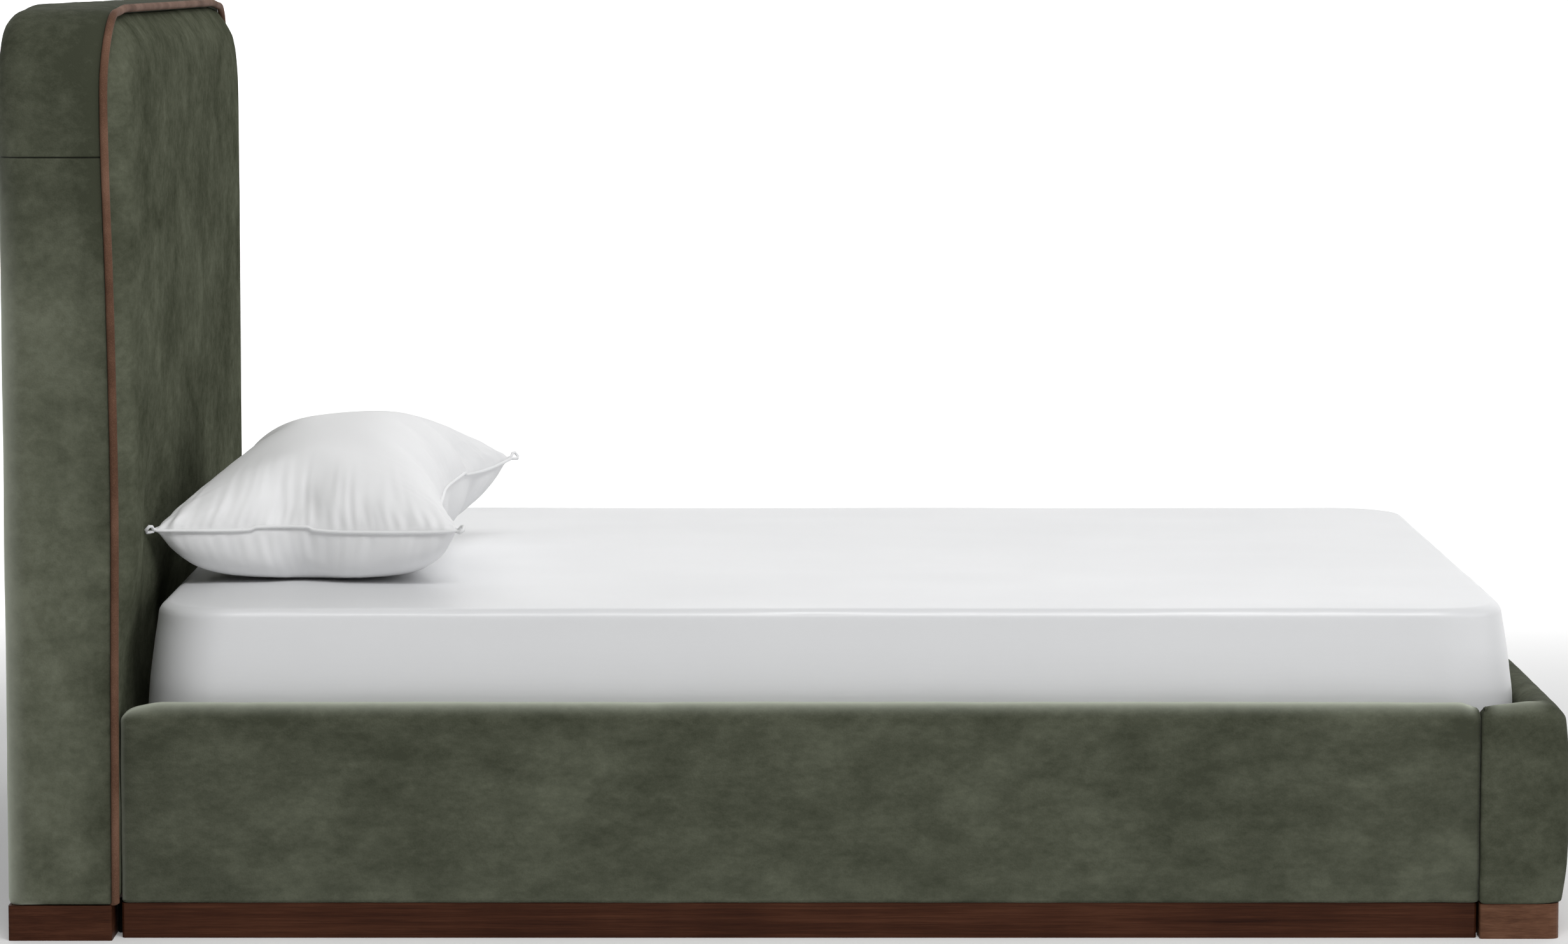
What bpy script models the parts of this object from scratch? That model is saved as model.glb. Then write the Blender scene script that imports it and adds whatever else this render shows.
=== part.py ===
"""Upholstered headboard bed, queen size, with its mattress, fitted sheet and pillow.

Run it with: blender --background --python part.py

The bed stands on the floor at z = 0 with its origin under the middle of its outline. X runs from
the headboard (-X) to the footboard (+X), Y runs across the bed, and "left" is the +Y side, which
is the left hand of someone who lies on their back. Sizes are in metres.

Each upholstered part is built in layers, like the real one: a timber core, foam round the core
and a velvet cover round the foam, each a separate closed solid with a small gap between.
"""

import math

import bmesh
import bpy
from mathutils import Vector

# ---- driving dimensions ----
BED_LENGTH = 2.294
GAP = 0.0003  # between two pieces that touch
FABRIC = 0.002  # thickness of the velvet covers
FINE = 0.0005  # the least corner radius

MATTRESS_LENGTH = 2.030
MATTRESS_WIDTH = 1.524
MATTRESS_HEIGHT = 0.250
MATTRESS_TOP = 0.480
MATTRESS_CORNER = 0.110
MATTRESS_EDGE = 0.035  # rounding of its top edge
MATTRESS_LOW_EDGE = 0.020
MATTRESS_X = 0.065  # middle of the mattress
SHEET = 0.0012

PLINTH_HEIGHT = 0.052
COVER_LOW = PLINTH_HEIGHT + GAP
LAYERS_LOW = COVER_LOW + 0.001  # the underside of the foam and the boards
RAIL_TOP = 0.347
RAIL_THICKNESS = 0.055
RAIL_EDGE = 0.024  # rounding of a rail's top edges
RAIL_END = 0.006  # rounding of its upright edges at each end
SIDE_GAP = 0.010  # between the mattress and a side rail
RAIL_FOAM = 0.012
TOP_FOAM = 0.018
PLINTH_THICKNESS = 0.038
PLINTH_INSET = 0.003  # how far a plinth stands back from the velvet above it
LEDGER_WIDTH = 0.025
LEDGER_HEIGHT = 0.040
END_SPACE = 0.012  # between the end of a ledger or a beam and the panel it faces

HEAD_WIDTH = 1.704
HEAD_TOP = 1.370
HEAD_DEPTH = 0.167
SHOULDER = 0.125  # radius of the headboard's top corners
SHOULDER_STEPS = 6
BAND_FOAM = 0.012
BACK_ROUND = 0.036  # rounding of the border where it turns onto the back
BACK_RETURN = 0.055  # how far the border reaches onto the back
PIPING_RADIUS = 0.006
PIPING_SIDES = 8
PAD_DEPTH = 0.027
PAD_EDGE = 0.012  # rounding of the front pad
PANEL = 0.012  # thickness of the headboard's plywood
POST_WIDTH = 0.045
BOTTOM_RAIL = (0.080, 0.200)  # its underside and its top

FOOT_WIDTH = 1.672
FOOT_RETURN = 0.1275  # how far the footboard wraps round onto each side
FOOT_CORNER = 0.030
FOOT_OVERHANG = 0.010  # of the velvet over the footboard's plinth
SEAM_ROUND = 0.004  # where a cover turns in at a seam

SLAT_COUNT = 11
SLAT_WIDTH = 0.100
SLAT_THICKNESS = 0.018
SLAT_END_SPACE = 0.004
BEAM_WIDTH = 0.040
BEAM_HEIGHT = 0.060
SADDLE_LENGTH = 0.045
SADDLE_HEIGHT = 0.048
SADDLE_WALL = 0.0025
LEG_COUNT = 2
LEG_SIDE = 0.045
LEVELLER_HEIGHT = 0.009
LEVELLER_RADIUS = 0.019
LEVELLER_STEM = 0.044  # height of the stem's top above the floor
STEM_RADIUS = 0.004
BORE_SPACE = 0.0008  # round a stem or a bolt

ANGLE_THICKNESS = 0.003
ANGLE_REACH = 0.065  # of a corner angle along each piece that it joins
ANGLE_LOW, ANGLE_HIGH = 0.068, 0.166
BOLT_RADIUS = 0.004
BOLT_HEAD = 0.0072
BOLT_FROM_CORNER = 0.040

PILLOW_LENGTH = 0.720
PILLOW_WIDTH = 0.460
PILLOW_HEIGHT = 0.232
PILLOW_X, PILLOW_Y = -0.735, -0.150

# ---- places worked out from them ----
HEAD_BACK = -BED_LENGTH / 2
HEAD_FRONT = HEAD_BACK + HEAD_DEPTH
FOOT_OUT = BED_LENGTH / 2
FOOT_IN = FOOT_OUT - RAIL_THICKNESS
FOOT_SEAM = FOOT_OUT - FOOT_RETURN
RAIL_IN = MATTRESS_WIDTH / 2 + SIDE_GAP
RAIL_OUT = RAIL_IN + RAIL_THICKNESS
RAIL_FROM = HEAD_FRONT + GAP
RAIL_TO = FOOT_SEAM - GAP
SLAT_TOP = MATTRESS_TOP - MATTRESS_HEIGHT - GAP
SLAT_LOW = SLAT_TOP - SLAT_THICKNESS
FRONT_VIEW = (math.pi / 2, 0, math.pi / 2)  # turns a drawing's x, y, z into the bed's Y, Z, X

# ---- materials: colour, roughness, metallic ----
FINISHES = {
    "velvet": ((0.085, 0.092, 0.065), 0.85, 0.0),
    "welt_leather": ((0.160, 0.085, 0.055), 0.60, 0.0),
    "walnut": ((0.070, 0.028, 0.016), 0.45, 0.0),
    "pine": ((0.600, 0.420, 0.240), 0.60, 0.0),
    "plywood": ((0.520, 0.360, 0.210), 0.65, 0.0),
    "foam": ((0.800, 0.760, 0.560), 0.90, 0.0),
    "dust_cloth": ((0.020, 0.020, 0.022), 0.95, 0.0),
    "steel": ((0.300, 0.300, 0.310), 0.40, 1.0),
    "nylon": ((0.030, 0.030, 0.030), 0.50, 0.0),
    "ticking": ((0.800, 0.800, 0.780), 0.85, 0.0),
    "sheet_cotton": ((0.780, 0.790, 0.810), 0.55, 0.0),
    "pillow_cotton": ((0.850, 0.850, 0.860), 0.55, 0.0),
}


def clear_scene():
    for obj in list(bpy.data.objects):
        bpy.data.objects.remove(obj)


def finish(name):
    """The material of that name, made the first time that it is asked for."""
    found = bpy.data.materials.get(name)
    if found:
        return found
    colour, roughness, metallic = FINISHES[name]
    made = bpy.data.materials.new(name)
    made.use_nodes = True
    shader = made.node_tree.nodes["Principled BSDF"]
    shader.inputs["Base Color"].default_value = (*colour, 1.0)
    shader.inputs["Roughness"].default_value = roughness
    shader.inputs["Metallic"].default_value = metallic
    return made


def add_object(name, bm, material, parent=None, rotation=(0, 0, 0), location=(0, 0, 0)):
    """Makes a bmesh into a named object with its material, shaded smooth up to sharp edges."""
    bmesh.ops.recalc_face_normals(bm, faces=bm.faces)
    mesh = bpy.data.meshes.new(name)
    bm.to_mesh(mesh)
    bm.free()
    mesh.materials.append(finish(material))
    mesh.shade_smooth()
    mesh.set_sharp_from_angle(angle=math.radians(35))
    obj = bpy.data.objects.new(name, mesh)
    bpy.context.scene.collection.objects.link(obj)
    obj.rotation_euler = rotation
    obj.location = location
    obj.parent = parent
    return obj


def group(name):
    """An empty that holds the pieces of one sub-assembly."""
    empty = bpy.data.objects.new(name, None)
    bpy.context.scene.collection.objects.link(empty)
    return empty


# ---- drawing tools ----
def outline(corners, inset=0.0, steps=4):
    """Points of a right-angled outline, anticlockwise, moved inwards by inset.

    corners holds (x, y, radius) for each corner, and each corner becomes an arc of steps + 1 points.
    """
    points = []
    for k, (x, y, radius) in enumerate(corners):
        here = Vector((x, y))
        before = Vector(corners[k - 1][:2])
        after = Vector(corners[(k + 1) % len(corners)][:2])
        come = (here - before).normalized()
        leave = (after - here).normalized()
        inwards = Vector((-come.y, come.x)) + Vector((-leave.y, leave.x))
        convex = come.cross(leave) > 0
        arc = max(radius - inset if convex else radius + inset, FINE)
        centre = here + inwards * inset + (leave - come) * arc
        for step in range(steps + 1):
            turn = math.pi / 2 * step / steps
            points.append(centre + arc * (come * math.sin(turn) - leave * math.cos(turn)))
    return points


def loft(rings):
    """A closed body through rings of equal length, with a face across the first and the last."""
    bm = bmesh.new()
    loops = [[bm.verts.new(point) for point in ring] for ring in rings]
    count = len(loops[0])
    for low, high in zip(loops, loops[1:]):
        for k in range(count):
            after = (k + 1) % count
            bm.faces.new((low[k], low[after], high[after], high[k]))
    bm.faces.new(loops[0])
    bm.faces.new(loops[-1])
    return bm


def at_height(points, z):
    return [(p.x, p.y, z) for p in points]


def rounded_sides(corners, low, high, edge, inset=0.0, steps=4, edge_steps=4):
    """Rings from low up to high whose top edge is rounded to the radius edge."""
    rings = [at_height(outline(corners, inset, steps), low)]
    for step in range(edge_steps + 1):
        turn = math.pi / 2 * step / edge_steps
        more = edge * (1 - math.cos(turn))
        z = high - edge + edge * math.sin(turn)
        rings.append(at_height(outline(corners, inset + more, steps), z))
    return rings


def prism(corners, low, high, inset=0.0, steps=4):
    """An outline extruded from low to high."""
    points = outline(corners, inset, steps)
    return loft([at_height(points, low), at_height(points, high)])


def sleeve(corners, low, high, edge, insets, top_wall, inner_edge, steps=4):
    """A hood with a rounded top that is open below: the space between two nested forms."""
    outer, inner = insets
    outside = rounded_sides(corners, low, high, edge, outer, steps)
    inside = rounded_sides(corners, low, high - top_wall, inner_edge, inner, steps)
    return loft(inside[::-1] + outside)


def rectangle(x_low, x_high, y_low, y_high, radius=FINE):
    return [
        (x_low, y_low, radius),
        (x_high, y_low, radius),
        (x_high, y_high, radius),
        (x_low, y_high, radius),
    ]


def block(x_low, x_high, y_low, y_high, z_low, z_high):
    """A plain rectangular block."""
    bm = bmesh.new()
    bmesh.ops.create_cube(bm, size=1.0)
    for vert in bm.verts:
        vert.co.x = x_low + (x_high - x_low) * (vert.co.x + 0.5)
        vert.co.y = y_low + (y_high - y_low) * (vert.co.y + 0.5)
        vert.co.z = z_low + (z_high - z_low) * (vert.co.z + 0.5)
    return bm


def turned(profile, steps):
    """A turned piece round Z through (radius, z) points, from its foot to its top."""
    rings = []
    for radius, z in profile:
        angles = [2 * math.pi * k / steps for k in range(steps)]
        rings.append([(radius * math.cos(a), radius * math.sin(a), z) for a in angles])
    return loft(rings)


def ease_edges(obj, width=0.002):
    """Breaks the sharp edges of a timber or steel piece."""
    bevel = obj.modifiers.new("eased_edges", "BEVEL")
    bevel.width = width
    bevel.segments = 1
    bevel.limit_method = "ANGLE"
    return obj


def cut(obj, cutter):
    """Takes the cutter's shape out of obj."""
    boolean = obj.modifiers.new("cut_" + cutter.name, "BOOLEAN")
    boolean.operation = "DIFFERENCE"
    boolean.solver = "EXACT"
    boolean.object = cutter


def cutter_object(name, bm, location, rotation):
    tool = add_object(name, bm, "steel", rotation=rotation, location=location)
    tool.hide_render = True
    tool.display_type = "WIRE"
    return tool


# ---- headboard ----
def headboard_arch(inset, low):
    """The headboard's outline in the front view, moved in by inset except at its foot."""
    half, top, radius = HEAD_WIDTH / 2 - inset, HEAD_TOP - inset, SHOULDER - inset
    return [(-half, low, FINE), (half, low, FINE), (half, top, radius), (-half, top, radius)]


def arch_path(inset, steps=SHOULDER_STEPS):
    """Points up one side, over the shoulders and down the other, moved in by inset."""
    half, top = HEAD_WIDTH / 2 - inset, HEAD_TOP - inset
    radius = SHOULDER - inset
    points = [Vector((half, COVER_LOW)), Vector((half, (COVER_LOW + top - radius) / 2))]
    for side in (1, -1):
        for step in range(steps + 1):
            turn = math.pi / 2 * step / steps
            if side < 0:
                turn = math.pi / 2 - turn
            x = side * (half - radius + radius * math.cos(turn))
            points.append(Vector((x, top - radius + radius * math.sin(turn))))
    points += [Vector((-p.x, p.y)) for p in points[1::-1]]
    return points


def sweep_over_arch(profile, legs=True):
    """Sweeps a closed profile of (inset, bed X) points over the headboard's arch.

    Without its legs the sweep has the two shoulders and the top only.
    """
    paths = [arch_path(inset) for inset, _ in profile]
    if not legs:
        paths = [path[2:-2] for path in paths]
    rings = []
    for station in range(len(paths[0])):
        ring = []
        for path, (_, depth) in zip(paths, profile):
            ring.append((path[station].x, path[station].y, depth))
        rings.append(ring)
    return loft(rings)


def border_profile(front, outer, outer_round, inner, inner_round, steps=4):
    """The border's section: along the side, round the back edge and onto the back."""

    def line(inset, radius):
        points = [(inset, front)]
        for step in range(steps + 1):
            turn = math.pi / 2 * step / steps
            across = inset + radius * (1 - math.cos(turn))
            points.append((across, HEAD_BACK + inset + radius * (1 - math.sin(turn))))
        points.append((BACK_RETURN, HEAD_BACK + inset))
        return points

    return line(outer, outer_round) + line(inner, inner_round)[::-1]


def build_headboard():
    parent = group("headboard")
    band = FABRIC + GAP
    core_inset = band + BAND_FOAM + GAP
    pad_back = HEAD_FRONT - PAD_DEPTH
    front_of_panel = pad_back - GAP
    front_of_core = front_of_panel - PANEL - GAP
    back_of_core = HEAD_BACK + core_inset
    half = HEAD_WIDTH / 2 - core_inset
    shoulder_low = HEAD_TOP - SHOULDER

    def front_piece(name, bm, material):
        return add_object(name, bm, material, parent, rotation=FRONT_VIEW)

    for side, name in ((1, "left"), (-1, "right")):
        low, high = sorted((side * half, side * (half - POST_WIDTH)))
        bm = block(low, high, LAYERS_LOW, shoulder_low - GAP, back_of_core, front_of_core)
        front_piece("headboard_post_" + name, bm, "pine")
    rail_inset = core_inset + POST_WIDTH
    section = [
        (core_inset, back_of_core),
        (core_inset, front_of_core),
        (rail_inset, front_of_core),
        (rail_inset, back_of_core),
    ]
    front_piece("headboard_top_rail", sweep_over_arch(section, legs=False), "pine")
    between = half - POST_WIDTH - GAP
    bm = block(-between, between, *BOTTOM_RAIL, back_of_core, front_of_core)
    front_piece("headboard_bottom_rail", bm, "pine")

    arch = headboard_arch(core_inset, LAYERS_LOW)
    bm = prism(arch, front_of_panel - PANEL, front_of_panel, steps=SHOULDER_STEPS)
    front_piece("headboard_front_panel", bm, "plywood")
    arch = headboard_arch(BACK_RETURN + GAP, LAYERS_LOW)
    bm = prism(arch, HEAD_BACK + band, back_of_core - GAP, steps=SHOULDER_STEPS)
    front_piece("headboard_back_panel", bm, "plywood")
    bm = prism(arch, HEAD_BACK, HEAD_BACK + FABRIC, steps=SHOULDER_STEPS)
    front_piece("headboard_dust_cover", bm, "dust_cloth")

    arch = headboard_arch(2.5 * PIPING_RADIUS, COVER_LOW)
    bm = sleeve(
        arch,
        pad_back,
        HEAD_FRONT,
        PAD_EDGE,
        (0.0, FABRIC),
        FABRIC,
        PAD_EDGE - FABRIC,
        SHOULDER_STEPS,
    )
    front_piece("headboard_front_cover", bm, "velvet")
    front = HEAD_FRONT - band
    bm = loft(rounded_sides(arch, pad_back, front, PAD_EDGE - band, band, SHOULDER_STEPS))
    front_piece("headboard_front_foam", bm, "foam")

    piping_x = HEAD_FRONT - PIPING_RADIUS
    border_front = piping_x - PIPING_RADIUS - GAP
    section = border_profile(border_front, 0.0, BACK_ROUND, FABRIC, BACK_ROUND - FABRIC)
    front_piece("headboard_border_cover", sweep_over_arch(section), "velvet")
    foam_front = border_front - PIPING_RADIUS
    section = border_profile(foam_front, band, BACK_ROUND - band, band + BAND_FOAM, FINE)
    front_piece("headboard_border_foam", sweep_over_arch(section), "foam")
    section = []
    for k in range(PIPING_SIDES):
        angle = 2 * math.pi * k / PIPING_SIDES
        inset = PIPING_RADIUS * (1 + math.cos(angle)) + GAP
        section.append((inset, piping_x + PIPING_RADIUS * math.sin(angle)))
    front_piece("headboard_piping", sweep_over_arch(section), "welt_leather")

    half = HEAD_WIDTH / 2 - PLINTH_INSET
    back, front = HEAD_BACK + PLINTH_INSET, HEAD_FRONT - 2 * PIPING_RADIUS
    plinth = prism(rectangle(back, front, -half, half, PLINTH_INSET), 0, PLINTH_HEIGHT, steps=2)
    add_object("headboard_plinth", plinth, "walnut", parent)


# ---- side rails ----
def build_layers(name, corners, parent):
    """The cover, the foam and the board of one upholstered piece, one inside the other.

    name holds a place for the layer, as in "rail_{}_left".
    """
    cover = sleeve(
        corners, COVER_LOW, RAIL_TOP, RAIL_EDGE, (0.0, FABRIC), FABRIC, RAIL_EDGE - FABRIC
    )
    add_object(name.format("cover"), cover, "velvet", parent)
    foam_inset = FABRIC + GAP
    foam_top = RAIL_TOP - foam_inset
    board_inset = foam_inset + RAIL_FOAM + GAP
    insets = (foam_inset, board_inset - GAP)
    foam = sleeve(
        corners, LAYERS_LOW, foam_top, RAIL_EDGE - foam_inset, insets, TOP_FOAM, FINE
    )
    add_object(name.format("foam"), foam, "foam", parent)
    board = prism(corners, LAYERS_LOW, foam_top - TOP_FOAM - GAP, board_inset)
    add_object(name.format("board"), board, "pine", parent)


def build_rail(name, side):
    """One side rail, its walnut plinth and the ledger that carries the slats."""
    parent = group("side_rail_" + name)
    low, high = sorted((side * RAIL_IN, side * RAIL_OUT))
    build_layers("rail_{}_" + name, rectangle(RAIL_FROM, RAIL_TO, low, high, RAIL_END), parent)
    outer = RAIL_OUT - PLINTH_INSET
    low, high = sorted((side * (outer - PLINTH_THICKNESS), side * outer))
    plinth = rectangle(RAIL_FROM, RAIL_TO - SEAM_ROUND, low, high, PLINTH_INSET)
    plinth = prism(plinth, 0, PLINTH_HEIGHT, steps=1)
    add_object("rail_plinth_" + name, plinth, "walnut", parent)
    inner = RAIL_IN - GAP
    low, high = sorted((side * (inner - LEDGER_WIDTH), side * inner))
    top = SLAT_LOW - GAP
    start, end = HEAD_FRONT + END_SPACE, FOOT_IN - END_SPACE
    ledger = block(start, end, low, high, top - LEDGER_HEIGHT, top)
    ease_edges(add_object("rail_ledger_" + name, ledger, "pine", parent))


# ---- footboard ----
def footboard_plan(outer_x, half_width, seam_x, inner_x, inner_y, corner):
    """The footboard's plan: a board across the foot with a short return along each side."""
    return [
        (seam_x, -half_width, SEAM_ROUND),
        (outer_x, -half_width, corner),
        (outer_x, half_width, corner),
        (seam_x, half_width, SEAM_ROUND),
        (seam_x, inner_y, SEAM_ROUND),
        (inner_x, inner_y, FINE),
        (inner_x, -inner_y, FINE),
        (seam_x, -inner_y, SEAM_ROUND),
    ]


def build_footboard():
    parent = group("footboard")
    plan = footboard_plan(FOOT_OUT, FOOT_WIDTH / 2, FOOT_SEAM, FOOT_IN, RAIL_IN, FOOT_CORNER)
    build_layers("footboard_{}", plan, parent)
    outer_x = FOOT_OUT - FOOT_OVERHANG
    inner_x = outer_x - PLINTH_THICKNESS
    half = FOOT_WIDTH / 2 - PLINTH_INSET
    inner_y = half - PLINTH_THICKNESS
    plan = footboard_plan(outer_x, half, FOOT_SEAM, inner_x, inner_y, FOOT_CORNER / 2)
    add_object("footboard_plinth", prism(plan, 0, PLINTH_HEIGHT), "walnut", parent)


# ---- slatted base ----
def build_slats():
    parent = group("slatted_base")
    first = MATTRESS_X - MATTRESS_LENGTH / 2
    pitch = MATTRESS_LENGTH / SLAT_COUNT
    half = RAIL_IN - SLAT_END_SPACE
    for k in range(SLAT_COUNT):
        centre = first + pitch * (k + 0.5)
        low, high = centre - SLAT_WIDTH / 2, centre + SLAT_WIDTH / 2
        slat = block(low, high, -half, half, SLAT_LOW, SLAT_TOP)
        ease_edges(add_object(f"slat_{k + 1:02d}", slat, "pine", parent))


def build_saddles(beam_low, parent):
    """The steel stirrups that hold the two ends of the centre beam."""
    inner = BEAM_WIDTH / 2 + GAP
    outer = inner + SADDLE_WALL
    floor = beam_low - GAP
    low, high = floor - SADDLE_WALL, floor - SADDLE_WALL + SADDLE_HEIGHT
    section = [
        (-outer, low, FINE),
        (outer, low, FINE),
        (outer, high, FINE),
        (inner, high, FINE),
        (inner, floor, FINE / 2),
        (-inner, floor, FINE / 2),
        (-inner, high, FINE),
        (-outer, high, FINE),
    ]
    ends = {"head": (HEAD_FRONT + GAP, SADDLE_LENGTH), "foot": (FOOT_IN - GAP, -SADDLE_LENGTH)}
    for name, (face, reach) in ends.items():
        bm = prism(section, min(face, face + reach), max(face, face + reach), steps=1)
        add_object("centre_saddle_" + name, bm, "steel", parent, rotation=FRONT_VIEW)


def build_leg(number, x, leg_top, parent):
    """A leg under the centre beam, and the levelling foot whose stem slides in its bore."""
    half = LEG_SIDE / 2
    leg_low = LEVELLER_HEIGHT + 0.001
    leg = block(-half, half, -half, half, leg_low, leg_top)
    leg = add_object(f"support_leg_{number}", leg, "pine", parent, location=(x, 0, 0))
    ease_edges(leg)
    radius = STEM_RADIUS + BORE_SPACE
    bore = turned([(radius, 0), (radius, LEVELLER_STEM + LEVELLER_HEIGHT)], 16)
    cut(leg, cutter_object(f"leg_bore_{number}", bore, (x, 0, 0), (0, 0, 0)))
    profile = [
        (LEVELLER_RADIUS - 0.0015, 0),
        (LEVELLER_RADIUS, 0.002),
        (LEVELLER_RADIUS, 0.006),
        (LEVELLER_RADIUS - 0.006, LEVELLER_HEIGHT),
        (STEM_RADIUS, LEVELLER_HEIGHT),
        (STEM_RADIUS, LEVELLER_STEM),
    ]
    foot = turned(profile, 16)
    add_object(f"leveller_foot_{number}", foot, "nylon", parent, location=(x, 0, 0))


def build_centre_support():
    """The beam under the slats, its two saddles and its legs."""
    parent = group("centre_support")
    beam_top = SLAT_LOW - GAP
    beam_low = beam_top - BEAM_HEIGHT
    half = BEAM_WIDTH / 2
    start, end = HEAD_FRONT + END_SPACE, FOOT_IN - END_SPACE
    beam = block(start, end, -half, half, beam_low, beam_top)
    ease_edges(add_object("centre_beam", beam, "pine", parent))
    build_saddles(beam_low, parent)
    spacing = MATTRESS_LENGTH / LEG_COUNT
    for k in range(LEG_COUNT):
        x = MATTRESS_X + (k - (LEG_COUNT - 1) / 2) * spacing
        build_leg(k + 1, x, beam_low - GAP, parent)


# ---- knock-down fittings ----
def build_bolt(name, place, rotation, reach, through, parent):
    """A bolt whose head lies at place, and its clearance hole through the pieces named."""
    radius = BOLT_RADIUS + BORE_SPACE
    hole = turned([(radius, -reach - BOLT_RADIUS), (radius, 2 * BOLT_RADIUS)], 12)
    tool = cutter_object(name + "_hole", hole, place, rotation)
    for piece in through:
        cut(bpy.data.objects[piece], tool)
    profile = [
        (BOLT_RADIUS, -reach),
        (BOLT_RADIUS, 0),
        (BOLT_HEAD, 0),
        (BOLT_HEAD, BOLT_HEAD / 4),
        (BOLT_HEAD * 0.6, BOLT_HEAD * 0.6),
    ]
    add_object(name, turned(profile, 12), "steel", parent, rotation, place)


def build_corner_fittings():
    """In each inner corner, a steel angle with one bolt into each of the boards it joins.

    At the foot the angle reaches past the footboard's return, to grip the side rail.
    """
    parent = group("corner_fittings")
    middle = (ANGLE_LOW + ANGLE_HIGH) / 2
    thick = ANGLE_THICKNESS
    headboard = ("front_cover", "front_foam", "front_panel", "bottom_rail")
    footboard = ("cover", "foam", "board")
    return_length = FOOT_RETURN - RAIL_THICKNESS
    ends = {
        "head": (HEAD_FRONT + GAP, 1, ["headboard_" + n for n in headboard], 0.060, 0.0),
        "foot": (FOOT_IN - GAP, -1, ["footboard_" + n for n in footboard], 0.040, return_length),
    }
    for end, (face, way, wall, wall_reach, extra) in ends.items():
        for name, side in (("left", 1), ("right", -1)):
            y = side * (RAIL_IN - GAP)
            inner_x, inner_y = face + way * thick, y - side * thick
            tip_x, tip_y = face + way * (extra + ANGLE_REACH), y - side * ANGLE_REACH
            corners = [
                (inner_x, y),
                (face, inner_y),
                (face, tip_y),
                (inner_x, tip_y),
                (inner_x, inner_y),
                (tip_x, inner_y),
                (tip_x, y),
            ]
            bm = loft([[(px, py, z) for px, py in corners] for z in (ANGLE_LOW, ANGLE_HIGH)])
            angle = f"corner_angle_{end}_{name}"
            add_object(angle, bm, "steel", parent)
            place = (inner_x + way * GAP, y - side * BOLT_FROM_CORNER, middle)
            turn = (0, way * math.pi / 2, 0)
            build_bolt(f"frame_bolt_{end}_{name}", place, turn, wall_reach, [angle] + wall, parent)
            rail = [f"rail_{layer}_{name}" for layer in footboard]
            bolt_x = face + way * (extra + BOLT_FROM_CORNER)
            place = (bolt_x, inner_y - side * GAP, middle)
            turn = (side * math.pi / 2, 0, 0)
            build_bolt(f"rail_bolt_{end}_{name}", place, turn, 0.036, [angle] + rail, parent)


# ---- mattress and pillow ----
def build_mattress():
    parent = group("bedding")
    low = MATTRESS_TOP - MATTRESS_HEIGHT
    half_x, half_y = MATTRESS_LENGTH / 2, MATTRESS_WIDTH / 2
    plan = rectangle(
        MATTRESS_X - half_x, MATTRESS_X + half_x, -half_y, half_y, MATTRESS_CORNER
    )
    edge = MATTRESS_EDGE
    hem = low + 2 * SHEET
    sheet = sleeve(plan, hem, MATTRESS_TOP, edge, (0.0, SHEET), SHEET, edge - SHEET, 6)
    add_object("fitted_sheet", sheet, "sheet_cotton", parent)
    inset = SHEET + GAP
    rings = []
    for step in range(5):
        turn = math.pi / 2 * step / 4
        ring = outline(plan, inset + MATTRESS_LOW_EDGE * (1 - math.sin(turn)), 6)
        rings.append(at_height(ring, low + MATTRESS_LOW_EDGE * (1 - math.cos(turn))))
    side_low = low + MATTRESS_LOW_EDGE
    rings += rounded_sides(plan, side_low, MATTRESS_TOP - inset, edge - inset, inset, 6)[1:]
    add_object("mattress", loft(rings), "ticking", parent)


def pillow_rings():
    """A plump pillow from its underside to its top, widest at the seam."""
    layers = 7
    seam = 0.40  # of the height
    rings = []
    for k in range(layers + 1):
        level = k / layers
        if level < seam:
            swell = math.sqrt(1 - (1 - level / seam) ** 2 * 0.72)
        else:
            swell = math.sqrt(1 - ((level - seam) / (1 - seam)) ** 2 * 0.90)
        half_x = PILLOW_WIDTH / 2 * swell
        half_y = (PILLOW_LENGTH / 2) * (0.25 + 0.75 * swell)
        corner = min(half_x, half_y) * (0.35 + 0.6 * (1 - swell))
        plan = outline(rectangle(-half_x, half_x, -half_y, half_y, corner), steps=4)
        rings.append(at_height(plan, level * PILLOW_HEIGHT))
    return rings


def build_pillow():
    place = (PILLOW_X, PILLOW_Y, MATTRESS_TOP + GAP)
    add_object("pillow", loft(pillow_rings()), "pillow_cotton", location=place)


def main():
    clear_scene()
    build_headboard()
    build_rail("left", 1)
    build_rail("right", -1)
    build_footboard()
    build_slats()
    build_centre_support()
    build_corner_fittings()
    build_mattress()
    build_pillow()


main()
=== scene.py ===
"""Looks of an upholstered headboard bed with its mattress, fitted sheet and pillow.

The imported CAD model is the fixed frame. Soft parts are built here as closed, crowned forms that
stand for their plain CAD solids; timber, steel and nylon keep their CAD shapes and get a finish.
X runs from the headboard (-X) to the footboard (+X), Y across the bed and Z up, in metres.
"""

import math

import bmesh
import bpy
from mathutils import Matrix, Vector, noise


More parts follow.
